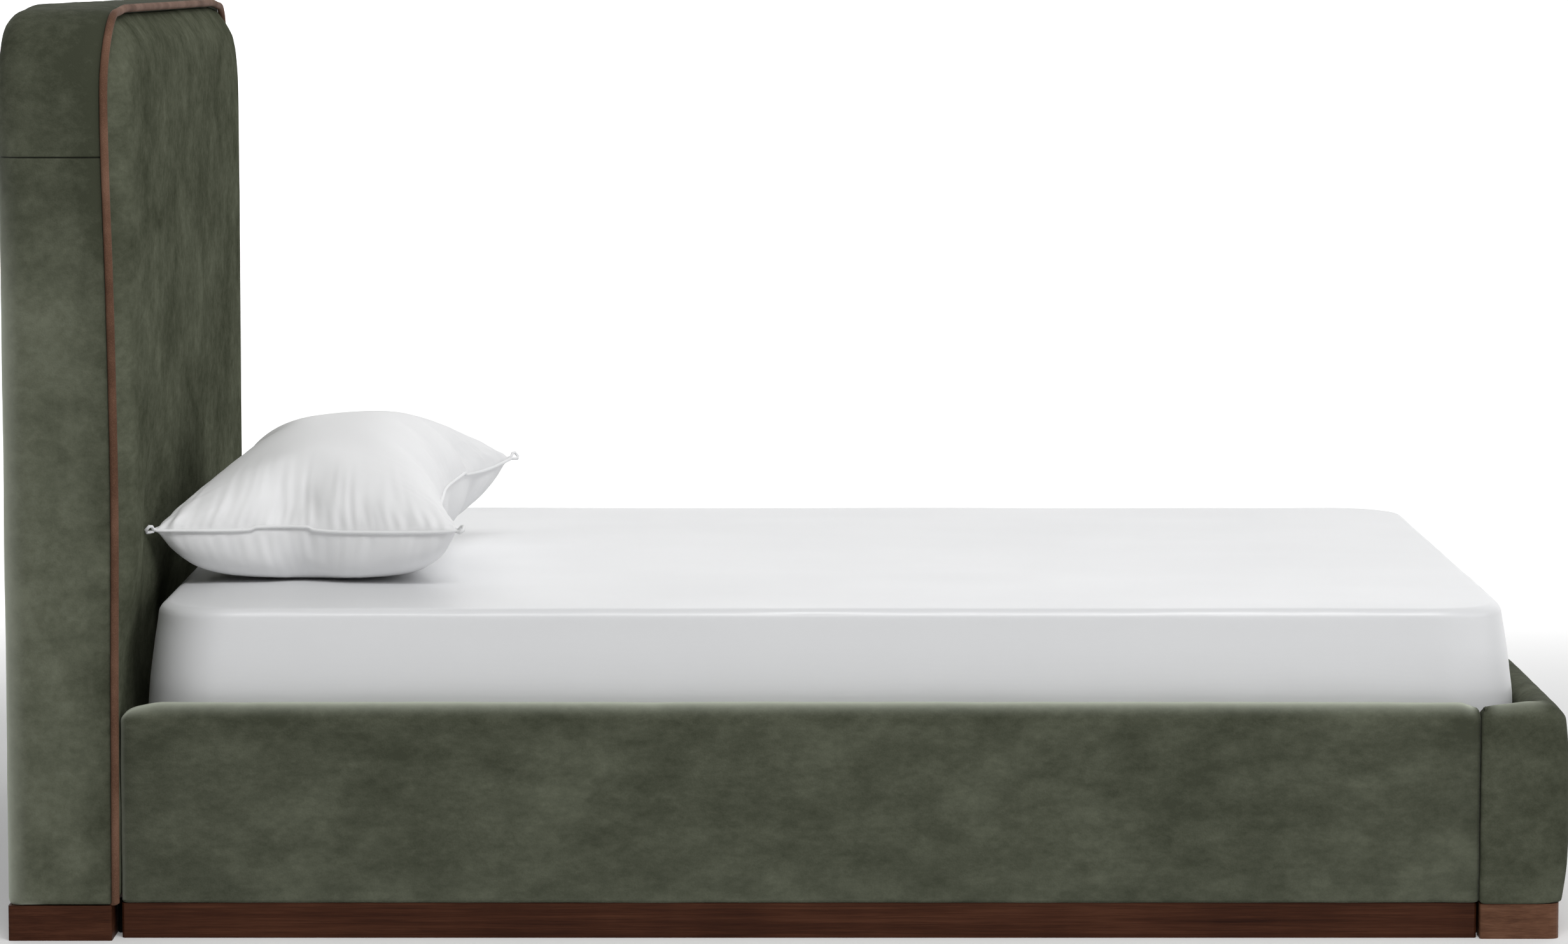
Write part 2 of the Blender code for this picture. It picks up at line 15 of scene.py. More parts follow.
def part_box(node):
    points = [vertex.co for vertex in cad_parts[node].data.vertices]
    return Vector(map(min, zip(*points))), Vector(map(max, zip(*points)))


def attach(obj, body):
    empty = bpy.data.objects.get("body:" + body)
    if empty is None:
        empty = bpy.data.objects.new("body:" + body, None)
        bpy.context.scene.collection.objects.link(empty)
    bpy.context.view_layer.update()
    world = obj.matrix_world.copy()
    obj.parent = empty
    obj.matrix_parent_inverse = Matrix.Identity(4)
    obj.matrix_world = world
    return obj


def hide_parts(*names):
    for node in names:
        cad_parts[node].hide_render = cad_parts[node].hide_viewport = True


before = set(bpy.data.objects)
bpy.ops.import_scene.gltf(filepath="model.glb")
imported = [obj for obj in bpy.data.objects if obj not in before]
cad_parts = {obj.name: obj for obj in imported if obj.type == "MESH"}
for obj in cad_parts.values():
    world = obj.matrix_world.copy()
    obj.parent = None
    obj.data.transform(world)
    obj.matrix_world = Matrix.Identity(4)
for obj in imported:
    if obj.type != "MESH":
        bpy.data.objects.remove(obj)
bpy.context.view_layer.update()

QUARTER = math.pi / 2
WELD = 0.00002  # points nearer than this are one point


# ---- finishes: a small language for shader nodes ----


class Tone:
    """A value or colour that changes over a surface. Python's operators add its Math nodes."""

    def __init__(self, finish, socket):
        self.finish, self.socket = finish, socket

    def maths(self, kind, *parts):
        return self.finish.node("ShaderNodeMath", {"operation": kind}, dict(enumerate(parts)))

    def __add__(self, other):
        return self.maths("ADD", self, other)

    def __rsub__(self, other):
        return self.maths("SUBTRACT", other, self)

    def __sub__(self, other):
        return self.maths("SUBTRACT", self, other)

    def __mul__(self, other):
        return self.maths("MULTIPLY", self, other)

    def __pow__(self, other):
        return self.maths("POWER", self, other)

    __radd__, __rmul__ = __add__, __mul__

    def distance_to(self, value):
        return self.finish.node("ShaderNodeMath", {"operation": "ABSOLUTE"}, {0: self - value})

    def between(self, low, high):
        """0 below low, 1 above high, and a soft step between."""
        return self.finish.node(
            "ShaderNodeMapRange",
            {"interpolation_type": "SMOOTHSTEP"},
            {"Value": self, "From Min": low, "From Max": high},
        )


class Finish:
    """One material: constants go straight on its shader's sockets, and tones are linked to them."""

    def __init__(self, name, **constants):
        self.material = bpy.data.materials.new(name)
        self.material.use_nodes = True
        self.tree = self.material.node_tree
        self.shader = self.tree.nodes["Principled BSDF"]
        for socket, value in constants.items():
            self.shader.inputs[socket.replace("_", " ")].default_value = value
        self.place = self.node("ShaderNodeTexCoord", output="Object")

    def axis(self, name, of="Object"):
        """The surface's place, or its normal, along one axis of the bed."""
        whole = self.place if of == "Object" else self.node("ShaderNodeTexCoord", output=of)
        return self.node("ShaderNodeSeparateXYZ", None, {0: whole}, output=name)

    def node(self, kind, settings=None, sockets=None, output=0):
        made = self.tree.nodes.new(kind)
        for name, value in (settings or {}).items():
            if name == "stops":
                self.set_stops(made.color_ramp, value)
            else:
                setattr(made, name, value)
        for key, value in (sockets or {}).items():
            if isinstance(value, Tone):
                self.tree.links.new(value.socket, made.inputs[key])
            else:
                made.inputs[key].default_value = value
        return Tone(self, made.outputs[output])

    @staticmethod
    def set_stops(ramp, stops):
        while len(ramp.elements) < len(stops):
            ramp.elements.new(1.0)
        for element, (position, colour) in zip(ramp.elements, stops):
            element.position, element.color = position, (*colour, 1)

    def stretched(self, sizes, shift=(0, 0, 0)):
        """Surface coordinates in units of one cloud, which is sizes metres along X, Y and Z."""
        return self.node(
            "ShaderNodeMapping",
            None,
            {"Vector": self.place, "Scale": [1 / s for s in sizes], "Location": shift},
        )

    def clouds(self, sizes, detail=3.0, roughness=0.55, shift=(0, 0, 0), distortion=0.0):
        """Soft random patches, from 0 to 1."""
        sizes = sizes if isinstance(sizes, tuple) else (sizes,) * 3
        return self.node(
            "ShaderNodeTexNoise",
            None,
            {
                "Vector": self.stretched(sizes, shift),
                "Scale": 1.0,
                "Detail": detail,
                "Roughness": roughness,
                "Distortion": distortion,
            },
        )

    def blend(self, share, first, second):
        """first where share is 0 and second where it is 1, as colours."""
        colours = {
            key: (*c, 1) if isinstance(c, tuple) else c for key, c in ((6, first), (7, second))
        }
        return self.node(
            "ShaderNodeMix",
            {"data_type": "RGBA"},
            {0: share, **colours},
            output=2,
        )

    def ramp(self, share, stops):
        return self.node("ShaderNodeValToRGB", {"stops": stops}, {0: share})

    def wear(self, **tones):
        """Links tones to the shader's sockets."""
        for socket, tone in tones.items():
            self.tree.links.new(tone.socket, self.shader.inputs[socket.replace("_", " ")])

    def paint_sheen(self, share, colour):
        """Paints sheen: mixes a pale shader over the surface's own by share, as a sheen shows edge
        on.
        """
        painted_sheen = self.tree.nodes.new("ShaderNodeBsdfPrincipled")
        painted_sheen.inputs["Base Color"].default_value = (*colour, 1)
        painted_sheen.inputs["Roughness"].default_value = 0.95
        painted_sheen.inputs["Specular IOR Level"].default_value = 0.05
        base = Tone(self, self.shader.outputs[0])
        pale = Tone(self, painted_sheen.outputs[0])
        mixed = self.node("ShaderNodeMixShader", None, {0: share, 1: base, 2: pale})
        output = next(n for n in self.tree.nodes if n.type == "OUTPUT_MATERIAL")
        self.tree.links.new(mixed.socket, output.inputs["Surface"])

    def relief(self, height, depth):
        """height, from 0 to 1, stands depth metres proud."""
        bumped = self.node(
            "ShaderNodeBump", None, {"Height": height, "Distance": depth, "Strength": 1.0}
        )
        self.wear(Normal=bumped)


# ---- the bed's finishes ----

NAP_DARK, NAP_MID = (0.050, 0.055, 0.036), (0.073, 0.079, 0.054)
NAP_LIGHT, NAP_PALE = (0.106, 0.114, 0.080), (0.150, 0.160, 0.116)
# colour of the pale painted sheen that velvet shows edge on
NAP_PAINTED_SHEEN = (0.50, 0.53, 0.44)
# colour of the painted shadow in a sewn join
NAP_SEAM_SHADOW = (0.012, 0.013, 0.009)
SEAM_LINE = 0.0018  # width of the shadow in a sewn join
BAND_SEAM = 1.150  # height of the join across the headboard's border
FOOT_JOIN = 1.0193  # where the rails meet the footboard


def velvet(name, brushed, sheen, gloss=0.08, painted_sheen=None, painted_shade=None, join=None):
    """Short-pile velvet, in patches brushed one way that are brushed metres along X, Y and Z.

    The last three arguments, each optional, say where a pale painted sheen shows edge on, how far
    its colour is painted paler or darker as shade, and the axis and place of a sewn join, painted
    dark as its shadow."""
    finish = Finish(
        name,
        Sheen_Weight=sheen,
        Sheen_Roughness=0.45,
        Sheen_Tint=(0.86, 0.93, 0.78, 1),
        Specular_IOR_Level=gloss,
    )
    broad = finish.clouds(brushed, detail=2.0, shift=(3.1, 1.7, 0.4), distortion=0.6)
    patches = finish.clouds(tuple(s / 3.5 for s in brushed), detail=4.0, roughness=0.6)
    strokes = finish.clouds(tuple(s / 14 for s in brushed), detail=4.0, roughness=0.65)
    pile = finish.clouds(0.0024, detail=2.0)
    nap_and_painted_shade = broad * 0.38 + patches * 0.32 + strokes * 0.18 + pile * 0.12
    # Painted shade, where given, shifts the colour paler or darker.
    if painted_shade:
        nap_and_painted_shade = nap_and_painted_shade + painted_shade(finish)
    nap = finish.ramp(
        nap_and_painted_shade, [(0.40, NAP_DARK), (0.50, NAP_MID), (0.62, NAP_LIGHT), (0.75, NAP_PALE)]
    )
    # Painted shadow along a sewn join.
    if join:
        axis, place = join
        off = finish.axis(axis).distance_to(place)
        nap = finish.blend(off.between(SEAM_LINE / 4, SEAM_LINE), NAP_SEAM_SHADOW, nap)
    finish.wear(Base_Color=nap, Roughness=0.96 - nap_and_painted_shade * 0.22)
    # Painted sheen: a pale shader mixed in where the surface is seen edge on.
    if painted_sheen:
        facing = finish.node("ShaderNodeLayerWeight", None, {"Blend": 0.5}, output="Facing")
        finish.paint_sheen(facing**1.2 * (0.75 + nap_and_painted_shade * 0.5) * painted_sheen(finish), NAP_PAINTED_SHEEN)
    finish.relief(pile * 0.6 + strokes * 0.4, 0.0011)
    return finish.material


def rail_painted_sheen(finish):
    """Painted sheen along the top, but none under the rail or in its join with the footboard."""
    upright = finish.axis("Z", of="Normal").between(-0.35, -0.05)
    open_side = finish.axis("X").distance_to(FOOT_JOIN).between(0.002, 0.016)
    return upright * open_side * 1.4


def foot_painted_sheen(finish):
    """Painted sheen only over the ends that turn back to the rails."""
    near_end = finish.axis("Y").distance_to(0.0).between(0.765, 0.800)
    outer_corner = finish.axis("X").between(1.085, 1.125)
    upright = finish.axis("Z", of="Normal").between(0.10, 0.60)
    open_side = finish.axis("X").distance_to(FOOT_JOIN).between(0.004, 0.030)
    return near_end * (1 - outer_corner) * upright * open_side * 0.75


def foot_painted_shade(finish):
    """Painted shade: the footboard is paler in its middle than at its outer corners."""
    return 0.035 - finish.axis("X").between(1.09, 1.14) * 0.05


def border_painted_sheen(finish):
    """Painted sheen round the back edge, less towards the top."""
    behind = 1 - finish.axis("X").between(-1.125, -1.085)
    return behind * (1 - finish.axis("Z").between(0.85, 1.25)) * 1.25


def border_painted_shade(finish):
    """Painted shade: paler low down, darker over the shoulder and by the welt."""
    upper = finish.axis("Z").between(0.80, 1.30)
    beside_welt = finish.axis("X").between(-1.050, -0.992)
    return 0.150 - upper * 0.180 - beside_welt * 0.110


def front_painted_shade(finish):
    """Painted shade: the front is darker towards its top."""
    return 0.065 - finish.axis("Z").between(0.60, 1.30) * 0.020


HIDE_DARK, HIDE_MID = (0.082, 0.042, 0.026), (0.140, 0.074, 0.048)
HIDE_RUBBED = (0.220, 0.122, 0.082)


def welt_leather(name):
    """Tan leather over a cord: waxed, darker in its pores and paler where it is rubbed."""
    finish = Finish(name, Specular_IOR_Level=0.05)
    pores = finish.node(
        "ShaderNodeTexVoronoi",
        {"feature": "F1"},
        {"Vector": finish.stretched((0.0014,) * 3), "Scale": 1.0},
    )
    rubbed = finish.clouds(0.09, detail=4.0)
    stops = [(0.30, HIDE_DARK), (0.50, HIDE_MID), (0.74, HIDE_RUBBED)]
    hide = finish.ramp(rubbed * 0.75 + pores * 0.25, stops)
    finish.wear(Base_Color=hide, Roughness=0.78 - rubbed * 0.22)
    finish.relief(pores, 0.00012)
    return finish.material


def timber(name, grain, dark, mid, light, gloss):
    """Timber whose figure is grain metres long along X, Y and Z; its pores run the same way."""
    finish = Finish(name, Specular_IOR_Level=0.10, Coat_Roughness=0.40)
    figure = finish.clouds(grain, detail=5.0, roughness=0.62, distortion=0.5)
    fibres = finish.clouds(tuple(g / 5 for g in grain), detail=3.0, roughness=0.7)
    blotch = finish.clouds(0.16, detail=3.0, shift=(0.7, 2.3, 5.1))
    shade = figure * 0.45 + fibres * 0.30 + blotch * 0.25
    stain = finish.ramp(shade, [(0.34, dark), (0.50, mid), (0.67, light)])
    waxed = gloss - fibres * gloss * 0.6
    finish.wear(Base_Color=stain, Roughness=0.62 - figure * 0.20, Coat_Weight=waxed)
    finish.relief(fibres * 0.7 + figure * 0.3, 0.0005)
    return finish.material


def laminated(name):
    """Plywood: pale plies and darker glue lines, with a long figure on its face."""
    finish = Finish(name, Specular_IOR_Level=0.3)
    plies = finish.node(
        "ShaderNodeTexWave",
        {"wave_type": "BANDS", "bands_direction": "X"},
        {"Vector": finish.stretched((0.0025, 1, 1)), "Scale": 1.0, "Distortion": 0.2},
    )
    figure = finish.clouds((0.05, 0.05, 0.6), detail=5.0, roughness=0.6)
    face = finish.ramp(
        figure * 0.8 + plies * 0.2,
        [(0.3, (0.36, 0.23, 0.12)), (0.5, (0.52, 0.36, 0.21)), (0.7, (0.64, 0.48, 0.30))],
    )
    finish.wear(Base_Color=face, Roughness=0.75 - figure * 0.15)
    finish.relief(figure, 0.0004)
    return finish.material


def woven(name, tint, shade, thread, weave_depth, softness, **constants):
    """Plain-woven cloth of threads thread metres across, in a tint and a close darker shade."""
    finish = Finish(name, **constants)
    warp, weft = (
        finish.node(
            "ShaderNodeTexWave",
            {"wave_type": "BANDS", "bands_direction": direction},
            {"Vector": finish.stretched((thread * 6,) * 3), "Scale": 1.0, "Distortion": 0.4},
        )
        for direction in ("X", "Y")
    )
    weave = warp * weft
    handling = finish.clouds((0.30, 0.22, 0.22), detail=4.0)
    slubs = finish.clouds((0.020, 0.0016, 0.0016), detail=2.0)
    colour = finish.blend(handling * 0.7 + slubs * 0.2 + weave * 0.1, shade, tint)
    finish.wear(Base_Color=colour, Roughness=softness - handling * 0.12)
    finish.relief(weave * 0.6 + slubs * 0.4, weave_depth)
    return finish.material


def zinc_steel(name):
    """Zinc-plated pressed steel with a faint brushed direction and handling marks."""
    finish = Finish(name)
    brushed = finish.clouds((0.0009, 0.0009, 0.04), detail=3.0)
    marks = finish.clouds(0.03, detail=5.0)
    colour = finish.blend(marks, (0.30, 0.30, 0.31), (0.50, 0.50, 0.50))
    finish.wear(Base_Color=colour, Roughness=0.26 + marks * 0.3, Metallic=0.94 + marks * 0.06)
    finish.relief(brushed, 0.0001)
    return finish.material


def moulded_nylon(name):
    finish = Finish(name, Specular_IOR_Level=0.4)
    flow = finish.clouds(0.012, detail=4.0)
    scuffs = finish.clouds((0.002, 0.02, 0.02), detail=4.0).between(0.55, 0.75)
    colour = finish.blend(scuffs, (0.018, 0.018, 0.019), (0.060, 0.060, 0.060))
    finish.wear(Base_Color=colour, Roughness=0.42 + flow * 0.15 + scuffs * 0.2)
    finish.relief(flow, 0.0003)
    return finish.material


VELVET_RAIL = velvet("velvet_rails", (0.26, 0.26, 0.15), 0.25, painted_sheen=rail_painted_sheen)
VELVET_FOOT = velvet("velvet_footboard", (0.22, 0.26, 0.18), 0.0, painted_sheen=foot_painted_sheen, painted_shade=foot_painted_shade)
VELVET_BORDER = velvet(
    "velvet_border",
    (0.20, 0.20, 0.18),
    0.0,
    painted_sheen=border_painted_sheen,
    painted_shade=border_painted_shade,
    join=("Z", BAND_SEAM),
)
VELVET_FRONT = velvet("velvet_headboard_front", (0.80, 0.26, 0.15), 0.0, gloss=0.0, painted_shade=front_painted_shade)
LEATHER = welt_leather("tan_welt_leather")
WALNUT_TONES = ((0.022, 0.0060, 0.0026), (0.054, 0.0175, 0.0078), (0.100, 0.0370, 0.0185))
# paler walnut tones, for the footboard's plinth
WALNUT_PALE_TONES = ((0.065, 0.0270, 0.0140), (0.140, 0.0640, 0.0360), (0.205, 0.1080, 0.0660))
WALNUT_ALONG = timber("walnut_grain_along_bed", (0.42, 0.030, 0.010), *WALNUT_TONES, gloss=0.04)
WALNUT_ENDS = timber("walnut_headboard_plinth", (0.16, 0.42, 0.010), *WALNUT_TONES, gloss=0.04)
WALNUT_PALE = timber("walnut_pale", (0.10, 0.42, 0.010), *WALNUT_PALE_TONES, gloss=0.06)
PINE_TONES = ((0.46, 0.28, 0.13), (0.62, 0.43, 0.24), (0.74, 0.56, 0.36))
PINE = timber("pine_along_bed", (0.55, 0.020, 0.020), *PINE_TONES, gloss=0.05)
PINE_ACROSS = timber("pine_across_bed", (0.020, 0.55, 0.020), *PINE_TONES, gloss=0.05)
PINE_UPRIGHT = timber("pine_upright", (0.020, 0.020, 0.55), *PINE_TONES, gloss=0.05)
PLYWOOD = laminated("plywood_sheet")
STEEL = zinc_steel("zinc_plated_steel")
NYLON = moulded_nylon("black_nylon")
DUST_CLOTH = woven(
    "black_dust_cloth", (0.030, 0.030, 0.032), (0.012, 0.012, 0.013), 0.0012, 0.0004, 0.98
)
SHEET_COTTON = woven(
    "white_sateen_sheet",
    (0.825, 0.832, 0.845),
    (0.785, 0.792, 0.806),
    0.00030,
    0.00006,
    0.42,
    Sheen_Weight=0.10,
    Sheen_Roughness=0.4,
    Specular_IOR_Level=0.8,
)
PILLOW_COTTON = woven(
    "white_pillow_cotton",
    (0.930, 0.931, 0.938),
    (0.905, 0.907, 0.916),
    0.00030,
    0.00006,
    0.56,
    Sheen_Weight=0.08,
    Sheen_Roughness=0.4,
    Specular_IOR_Level=0.35,
)
TICKING = woven("quilted_ticking", (0.80, 0.80, 0.78), (0.70, 0.70, 0.69), 0.0009, 0.0003, 0.95)


# ---- skins: closed meshes through rows of points ----


def soft_step(value, low, high):
    t = min(1.0, max(0.0, (value - low) / (high - low)))
    return t * t * (3 - 2 * t)


def hump(value, low, high, rise, fall):
    """0 at low and high, and 1 between from rise past low to fall before high."""
    return soft_step(value, low, low + rise) * (1 - soft_step(value, high - fall, high))


def along(points, value):
    """The height at value on a smooth curve through (value, height) points."""
    if value <= points[0][0]:
        return points[0][1]
    if value >= points[-1][0]:
        return points[-1][1]
    k = next(i for i, (place, _) in enumerate(points) if value <= place)
    (a, low), (b, high) = points[k - 1], points[k]
    before, after = points[max(k - 2, 0)], points[min(k + 1, len(points) - 1)]
    rise_a = (high - before[1]) / (b - before[0])
    rise_b = (after[1] - low) / (after[0] - a)
    t = (value - a) / (b - a)
    bend = (b - a) * t * (1 - t) * (rise_a * (1 - t) - rise_b * t)
    return low * (1 + 2 * t) * (1 - t) ** 2 + high * t * t * (3 - 2 * t) + bend


def ripple(point, size, seed=0.0):
    """Smooth noise from about -1 to 1, whose humps are size metres across."""
    return noise.noise(Vector(point) / size + Vector((seed, seed * 0.7, -seed)))


def rounded_outline(low, high, radii, steps):
    """Points anticlockwise round a rectangle with rounded corners, from its low corner.

    radii are of the corners in that order; steps are along its first side, its second side and
    round each corner."""
    corners = ((low[0], low[1]), (high[0], low[1]), (high[0], high[1]), (low[0], high[1]))
    arcs = []
    for k, ((a, b), radius) in enumerate(zip(corners, radii)):
        middle = (a + (radius if k in (0, 3) else -radius), b + (radius if k < 2 else -radius))
        turns = [math.pi + QUARTER * (k + i / steps[2]) for i in range(steps[2] + 1)]
        arcs.append(
            [(middle[0] + radius * math.cos(t), middle[1] + radius * math.sin(t)) for t in turns]
        )
    points = []
    for k, arc in enumerate(arcs):
        start, end, count = arc[-1], arcs[(k + 1) % 4][0], steps[k % 2]
        points += arc
        points += [
            (start[0] + (end[0] - start[0]) * i / count, start[1] + (end[1] - start[1]) * i / count)
            for i in range(1, count)
        ]
    return points


def new_piece(name, mesh, finish):
    mesh.materials.append(finish)
    obj = bpy.data.objects.new(name, mesh)
    bpy.context.scene.collection.objects.link(obj)
    return obj


def skin(name, rows, finish, loop=False, caps="merge", ring=True):
    """A smooth mesh through rows of points, each row a closed ring unless ring is False.

    loop joins the last row to the first. caps closes the end rows: flat fills them, fold joins
    their two sides, and merge welds sides that already meet."""
    count = len(rows[0])
    vertices = [point for row in rows for point in row]
    faces = []
    for r in range(len(rows) if loop else len(rows) - 1):
        here, after = r * count, (r + 1) % len(rows) * count
        for c in range(count if ring else count - 1):
            d = (c + 1) % count
            faces.append((here + c, here + d, after + d, after + c))
    for first in () if loop else (0, (len(rows) - 1) * count):
        if caps == "flat":
            faces.append(tuple(range(first, first + count)))
        elif caps == "fold":
            for c in range(count // 2 - 1):
                facing = first + count - 1 - c
                faces.append((first + c, first + c + 1, facing - 1, facing))
    mesh = bpy.data.meshes.new(name)
    mesh.from_pydata(vertices, [], faces)
    tidy_mesh(mesh)
    return new_piece(name, mesh, finish)


def tidy_mesh(mesh):
    """Welds points that meet, turns every face outward and shades it smooth."""
    work = bmesh.new()
    work.from_mesh(mesh)
    bmesh.ops.remove_doubles(work, verts=work.verts, dist=WELD)
    bmesh.ops.dissolve_degenerate(work, edges=work.edges, dist=WELD / 4)
    bmesh.ops.recalc_face_normals(work, faces=work.faces)
    for face in work.faces:
        face.smooth = True
    work.to_mesh(mesh)
    work.free()


def plump(obj, height):
    """Moves each point of obj out along its normal by height(point, normal) metres."""
    moves = [(v, v.normal.copy(), height(v.co, v.normal)) for v in obj.data.vertices]
    for vertex, normal, distance in moves:
        vertex.co += normal * distance
    obj.data.update()
    return obj


def place_piece(obj, body, replaced):
    """Puts obj on its body and hides the CAD nodes that it stands for."""
    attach(obj, body)
    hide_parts(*replaced)
    return obj


def edge_arc(radius, steps):
    """(inset, drop) pairs round an edge, from its side to its face."""
    turns = [QUARTER * i / steps for i in range(steps + 1)]
    return [(radius * (1 - math.cos(t)), radius * (1 - math.sin(t))) for t in turns]


# ---- headboard ----

BORDER_LOW, BORDER_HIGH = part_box("headboard_border_cover")
HEAD_SIDE, HEAD_TOP = BORDER_HIGH.y, BORDER_HIGH.z
HEAD_BASE, HEAD_BACK = BORDER_LOW.z, BORDER_LOW.x
SHOULDER = 0.125  # radius of the headboard's top corners
CROWN_DROP = 0.006  # how much lower the top edge is at its ends than in its middle
BAND_WALL = 0.0143  # from the border's outside to the timber inside it
BAND_HEM = 0.0548  # how far in from its outside the border's fabric reaches on the back
TIMBER_BACK = -1.1330  # the back of the timber inside the border
WELT_RADIUS = 0.006
WELT_INSET = 0.0063  # from the border's outside to the middle of the welt
# the welt's middle along X at a height, where the fabric pulls it out of line
WELT_BOW = [
    (0.05, -0.9865), (0.35, -0.9845), (0.62, -0.9815), (0.76, -0.9822), (0.97, -0.9855),
    (1.15, -0.9900), (1.27, -0.9905), (1.37, -0.9860),
]
SEAM_WIDTH, SEAM_DEPTH = 0.0013, 0.0013
FRONT_RUN, FRONT_INSET = 0.028, 0.0095  # how far the border's front edge is rounded along X and in
BACK_ROUND = 0.036  # of the border's back edge low down
BORDER_SWELL = 0.0022  # of the border's side; its back edge is rounder by as much high up
HEM_ROUND = 0.011  # of the border's low edge
# two soft creases on the border's side: start and end in X and Z, width and height
BORDER_CREASES = (
    ((-1.118, 1.012), (-1.046, 0.895), 0.010, 0.0012),
    ((-1.140, 0.700), (-1.060, 0.600), 0.014, 0.0007),
)


def arch_stations():
    """(y, z, outward y, outward z) up the near side, over the top and down the far side."""
    step = 0.012
    shoulder_z, shoulder_y = HEAD_TOP - SHOULDER, HEAD_SIDE - SHOULDER
    heights = [HEAD_BASE + HEM_ROUND * i / 6 for i in range(6)]
    start = HEAD_BASE + HEM_ROUND
    heights += [start + (shoulder_z - start) * i / 100 for i in range(100)]
    near_seam = [BAND_SEAM + SEAM_WIDTH * i * 0.6 for i in range(-5, 6)]
    heights = sorted([h for h in heights if abs(h - BAND_SEAM) > step / 2] + near_seam)
    leg = [(-HEAD_SIDE, z, -1.0, 0.0) for z in heights]
    for i in range(21):
        turn = QUARTER * i / 20
        out = (-math.cos(turn), math.sin(turn))
        leg.append((-shoulder_y + SHOULDER * out[0], shoulder_z + SHOULDER * out[1], *out))
    count = round(shoulder_y / step)
    leg += [(-shoulder_y + shoulder_y * i / count, HEAD_TOP, 0.0, 1.0) for i in range(1, count)]
    mirrored = [(-y, z, -ny, nz) for y, z, ny, nz in reversed(leg)]
    return leg + [(0.0, HEAD_TOP, 0.0, 1.0)] + mirrored


def crown_drop(y, z):
    """The headboard's top edge falls a little towards its shoulders."""
    return -CROWN_DROP * soft_step(abs(y), 0.60, 0.74) * soft_step(z, 1.10, HEAD_TOP - 0.04)


def headboard_border():
    """The padded border: past the welt's groove, round the side or top and onto the back."""
    rows = []
    for y, z, ny, nz in arch_stations():
        front = along(WELT_BOW, z) - WELT_RADIUS * 0.90
        back_round = BACK_ROUND + BORDER_SWELL * soft_step(z, 1.00, 1.28)
        outer = [(front - 0.0015, 0.0138), (front - 0.0005, 0.0115)]
        outer += [
            (front - drop * FRONT_RUN / FRONT_INSET, inset)
            for inset, drop in reversed(edge_arc(FRONT_INSET, 9))
        ]
        length = front - FRONT_RUN - (HEAD_BACK + back_round)
        for i in range(1, 18):
            share = i / 18
            swell = math.sin(math.pi * min(1.0, share * 1.15)) ** 0.8 if share < 0.87 else 0.0
            outer.append((front - FRONT_RUN - length * share, -BORDER_SWELL * swell))
        outer += [(HEAD_BACK + drop, inset) for inset, drop in edge_arc(back_round, 10)]
        outer += [(HEAD_BACK, 0.0510), (HEAD_BACK + 0.0003, 0.0535), (HEAD_BACK + 0.0020, BAND_HEM)]
        inner = [(TIMBER_BACK, BAND_HEM), (TIMBER_BACK, BAND_WALL), (front - 0.004, BAND_WALL)]
        drop = crown_drop(y, z)
        under = max(0.0, HEM_ROUND - (z - HEAD_BASE))
        hem = 0.9 * (HEM_ROUND - math.sqrt(HEM_ROUND**2 - under**2))
        row = []
        for x, inset in outer:
            inset = max(inset, hem)
            row.append((max(x, HEAD_BACK + hem), y - ny * inset, z - nz * inset + drop))
        row += [(x, y - ny * inset, z - nz * inset) for x, inset in inner]
        rows.append(row)
    obj = skin("headboard_border", rows, VELVET_BORDER, caps="flat")

    def height(point, normal):
        outside = max(abs(point.y) - HEAD_SIDE, point.z - HEAD_TOP)
        if outside < -0.056 or point.x > -1.0 and abs(normal.x) > 0.8:
            return 0.0
        if outside < -BAND_WALL + 0.0005 and point.x > HEAD_BACK + 0.006:
            return 0.0
        lift = 0.0008 * ripple(point, 0.16, 3.0) + 0.0004 * ripple(point, 0.05, 8.0)
        for start, end, width, proud in BORDER_CREASES:
            lift += crease(point, start, end, width) * proud
        if abs(normal.z) < 0.5:
            lift -= SEAM_DEPTH * math.exp(-(((point.z - BAND_SEAM) / SEAM_WIDTH) ** 2))
            puff = abs(point.z - BAND_SEAM)
            lift += 0.0006 * math.exp(-puff / 0.012) * (1 - math.exp(-puff / 0.003))
        return lift

    plump(obj, height)
    return place_piece(
        obj, "frame", ("headboard_border_cover", "headboard_border_foam")
    )


def crease(point, start, end, width):
    """A soft fold on a side face, from start to end in X and Z: 1 on its line and 0 off it."""
    a, b, p = Vector(start), Vector(end), Vector((point.x, point.z))
    run = b - a
    share = (p - a).dot(run) / run.length_squared
    off = (p - a - run * share).length
    ends = soft_step(share, -0.1, 0.25) * (1 - soft_step(share, 0.75, 1.1))
    return ends * math.exp(-((off / width) ** 2))


def headboard_welt():
    """Leather piping sewn between the front pad and the border, tucked in at both its feet."""
    rows = []
    stations = arch_stations()
    sides = 14
    for n, (y, z, ny, nz) in enumerate(stations):
        tuck = 0.004 * max(0.0, 1 - min(n, len(stations) - 1 - n) / 2)
        height = z - nz * WELT_INSET + crown_drop(y, z)
        middle = Vector((along(WELT_BOW, z), y - ny * WELT_INSET, height))
        middle += Vector((-tuck, -ny * tuck, -nz * tuck))
        radius = WELT_RADIUS * (1 - 0.03 * ripple(middle, 0.03, 5.0) - 18 * tuck)
        row = []
        for k in range(sides):
            across, out = math.cos(math.tau * k / sides), math.sin(math.tau * k / sides)
            row.append(middle + radius * Vector((across, ny * out, nz * out)))
        rows.append(row)
    obj = skin("headboard_welt", rows, LEATHER, caps="flat")
    return place_piece(obj, "frame", ("headboard_piping",))


PAD_LOW, PAD_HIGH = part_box("headboard_front_cover")
PAD_CROWN = 0.027  # how far the middle of the front pad stands proud of its CAD solid
PAD_AT_RAILS = -0.9810  # the flat part of its face, where the rails meet it
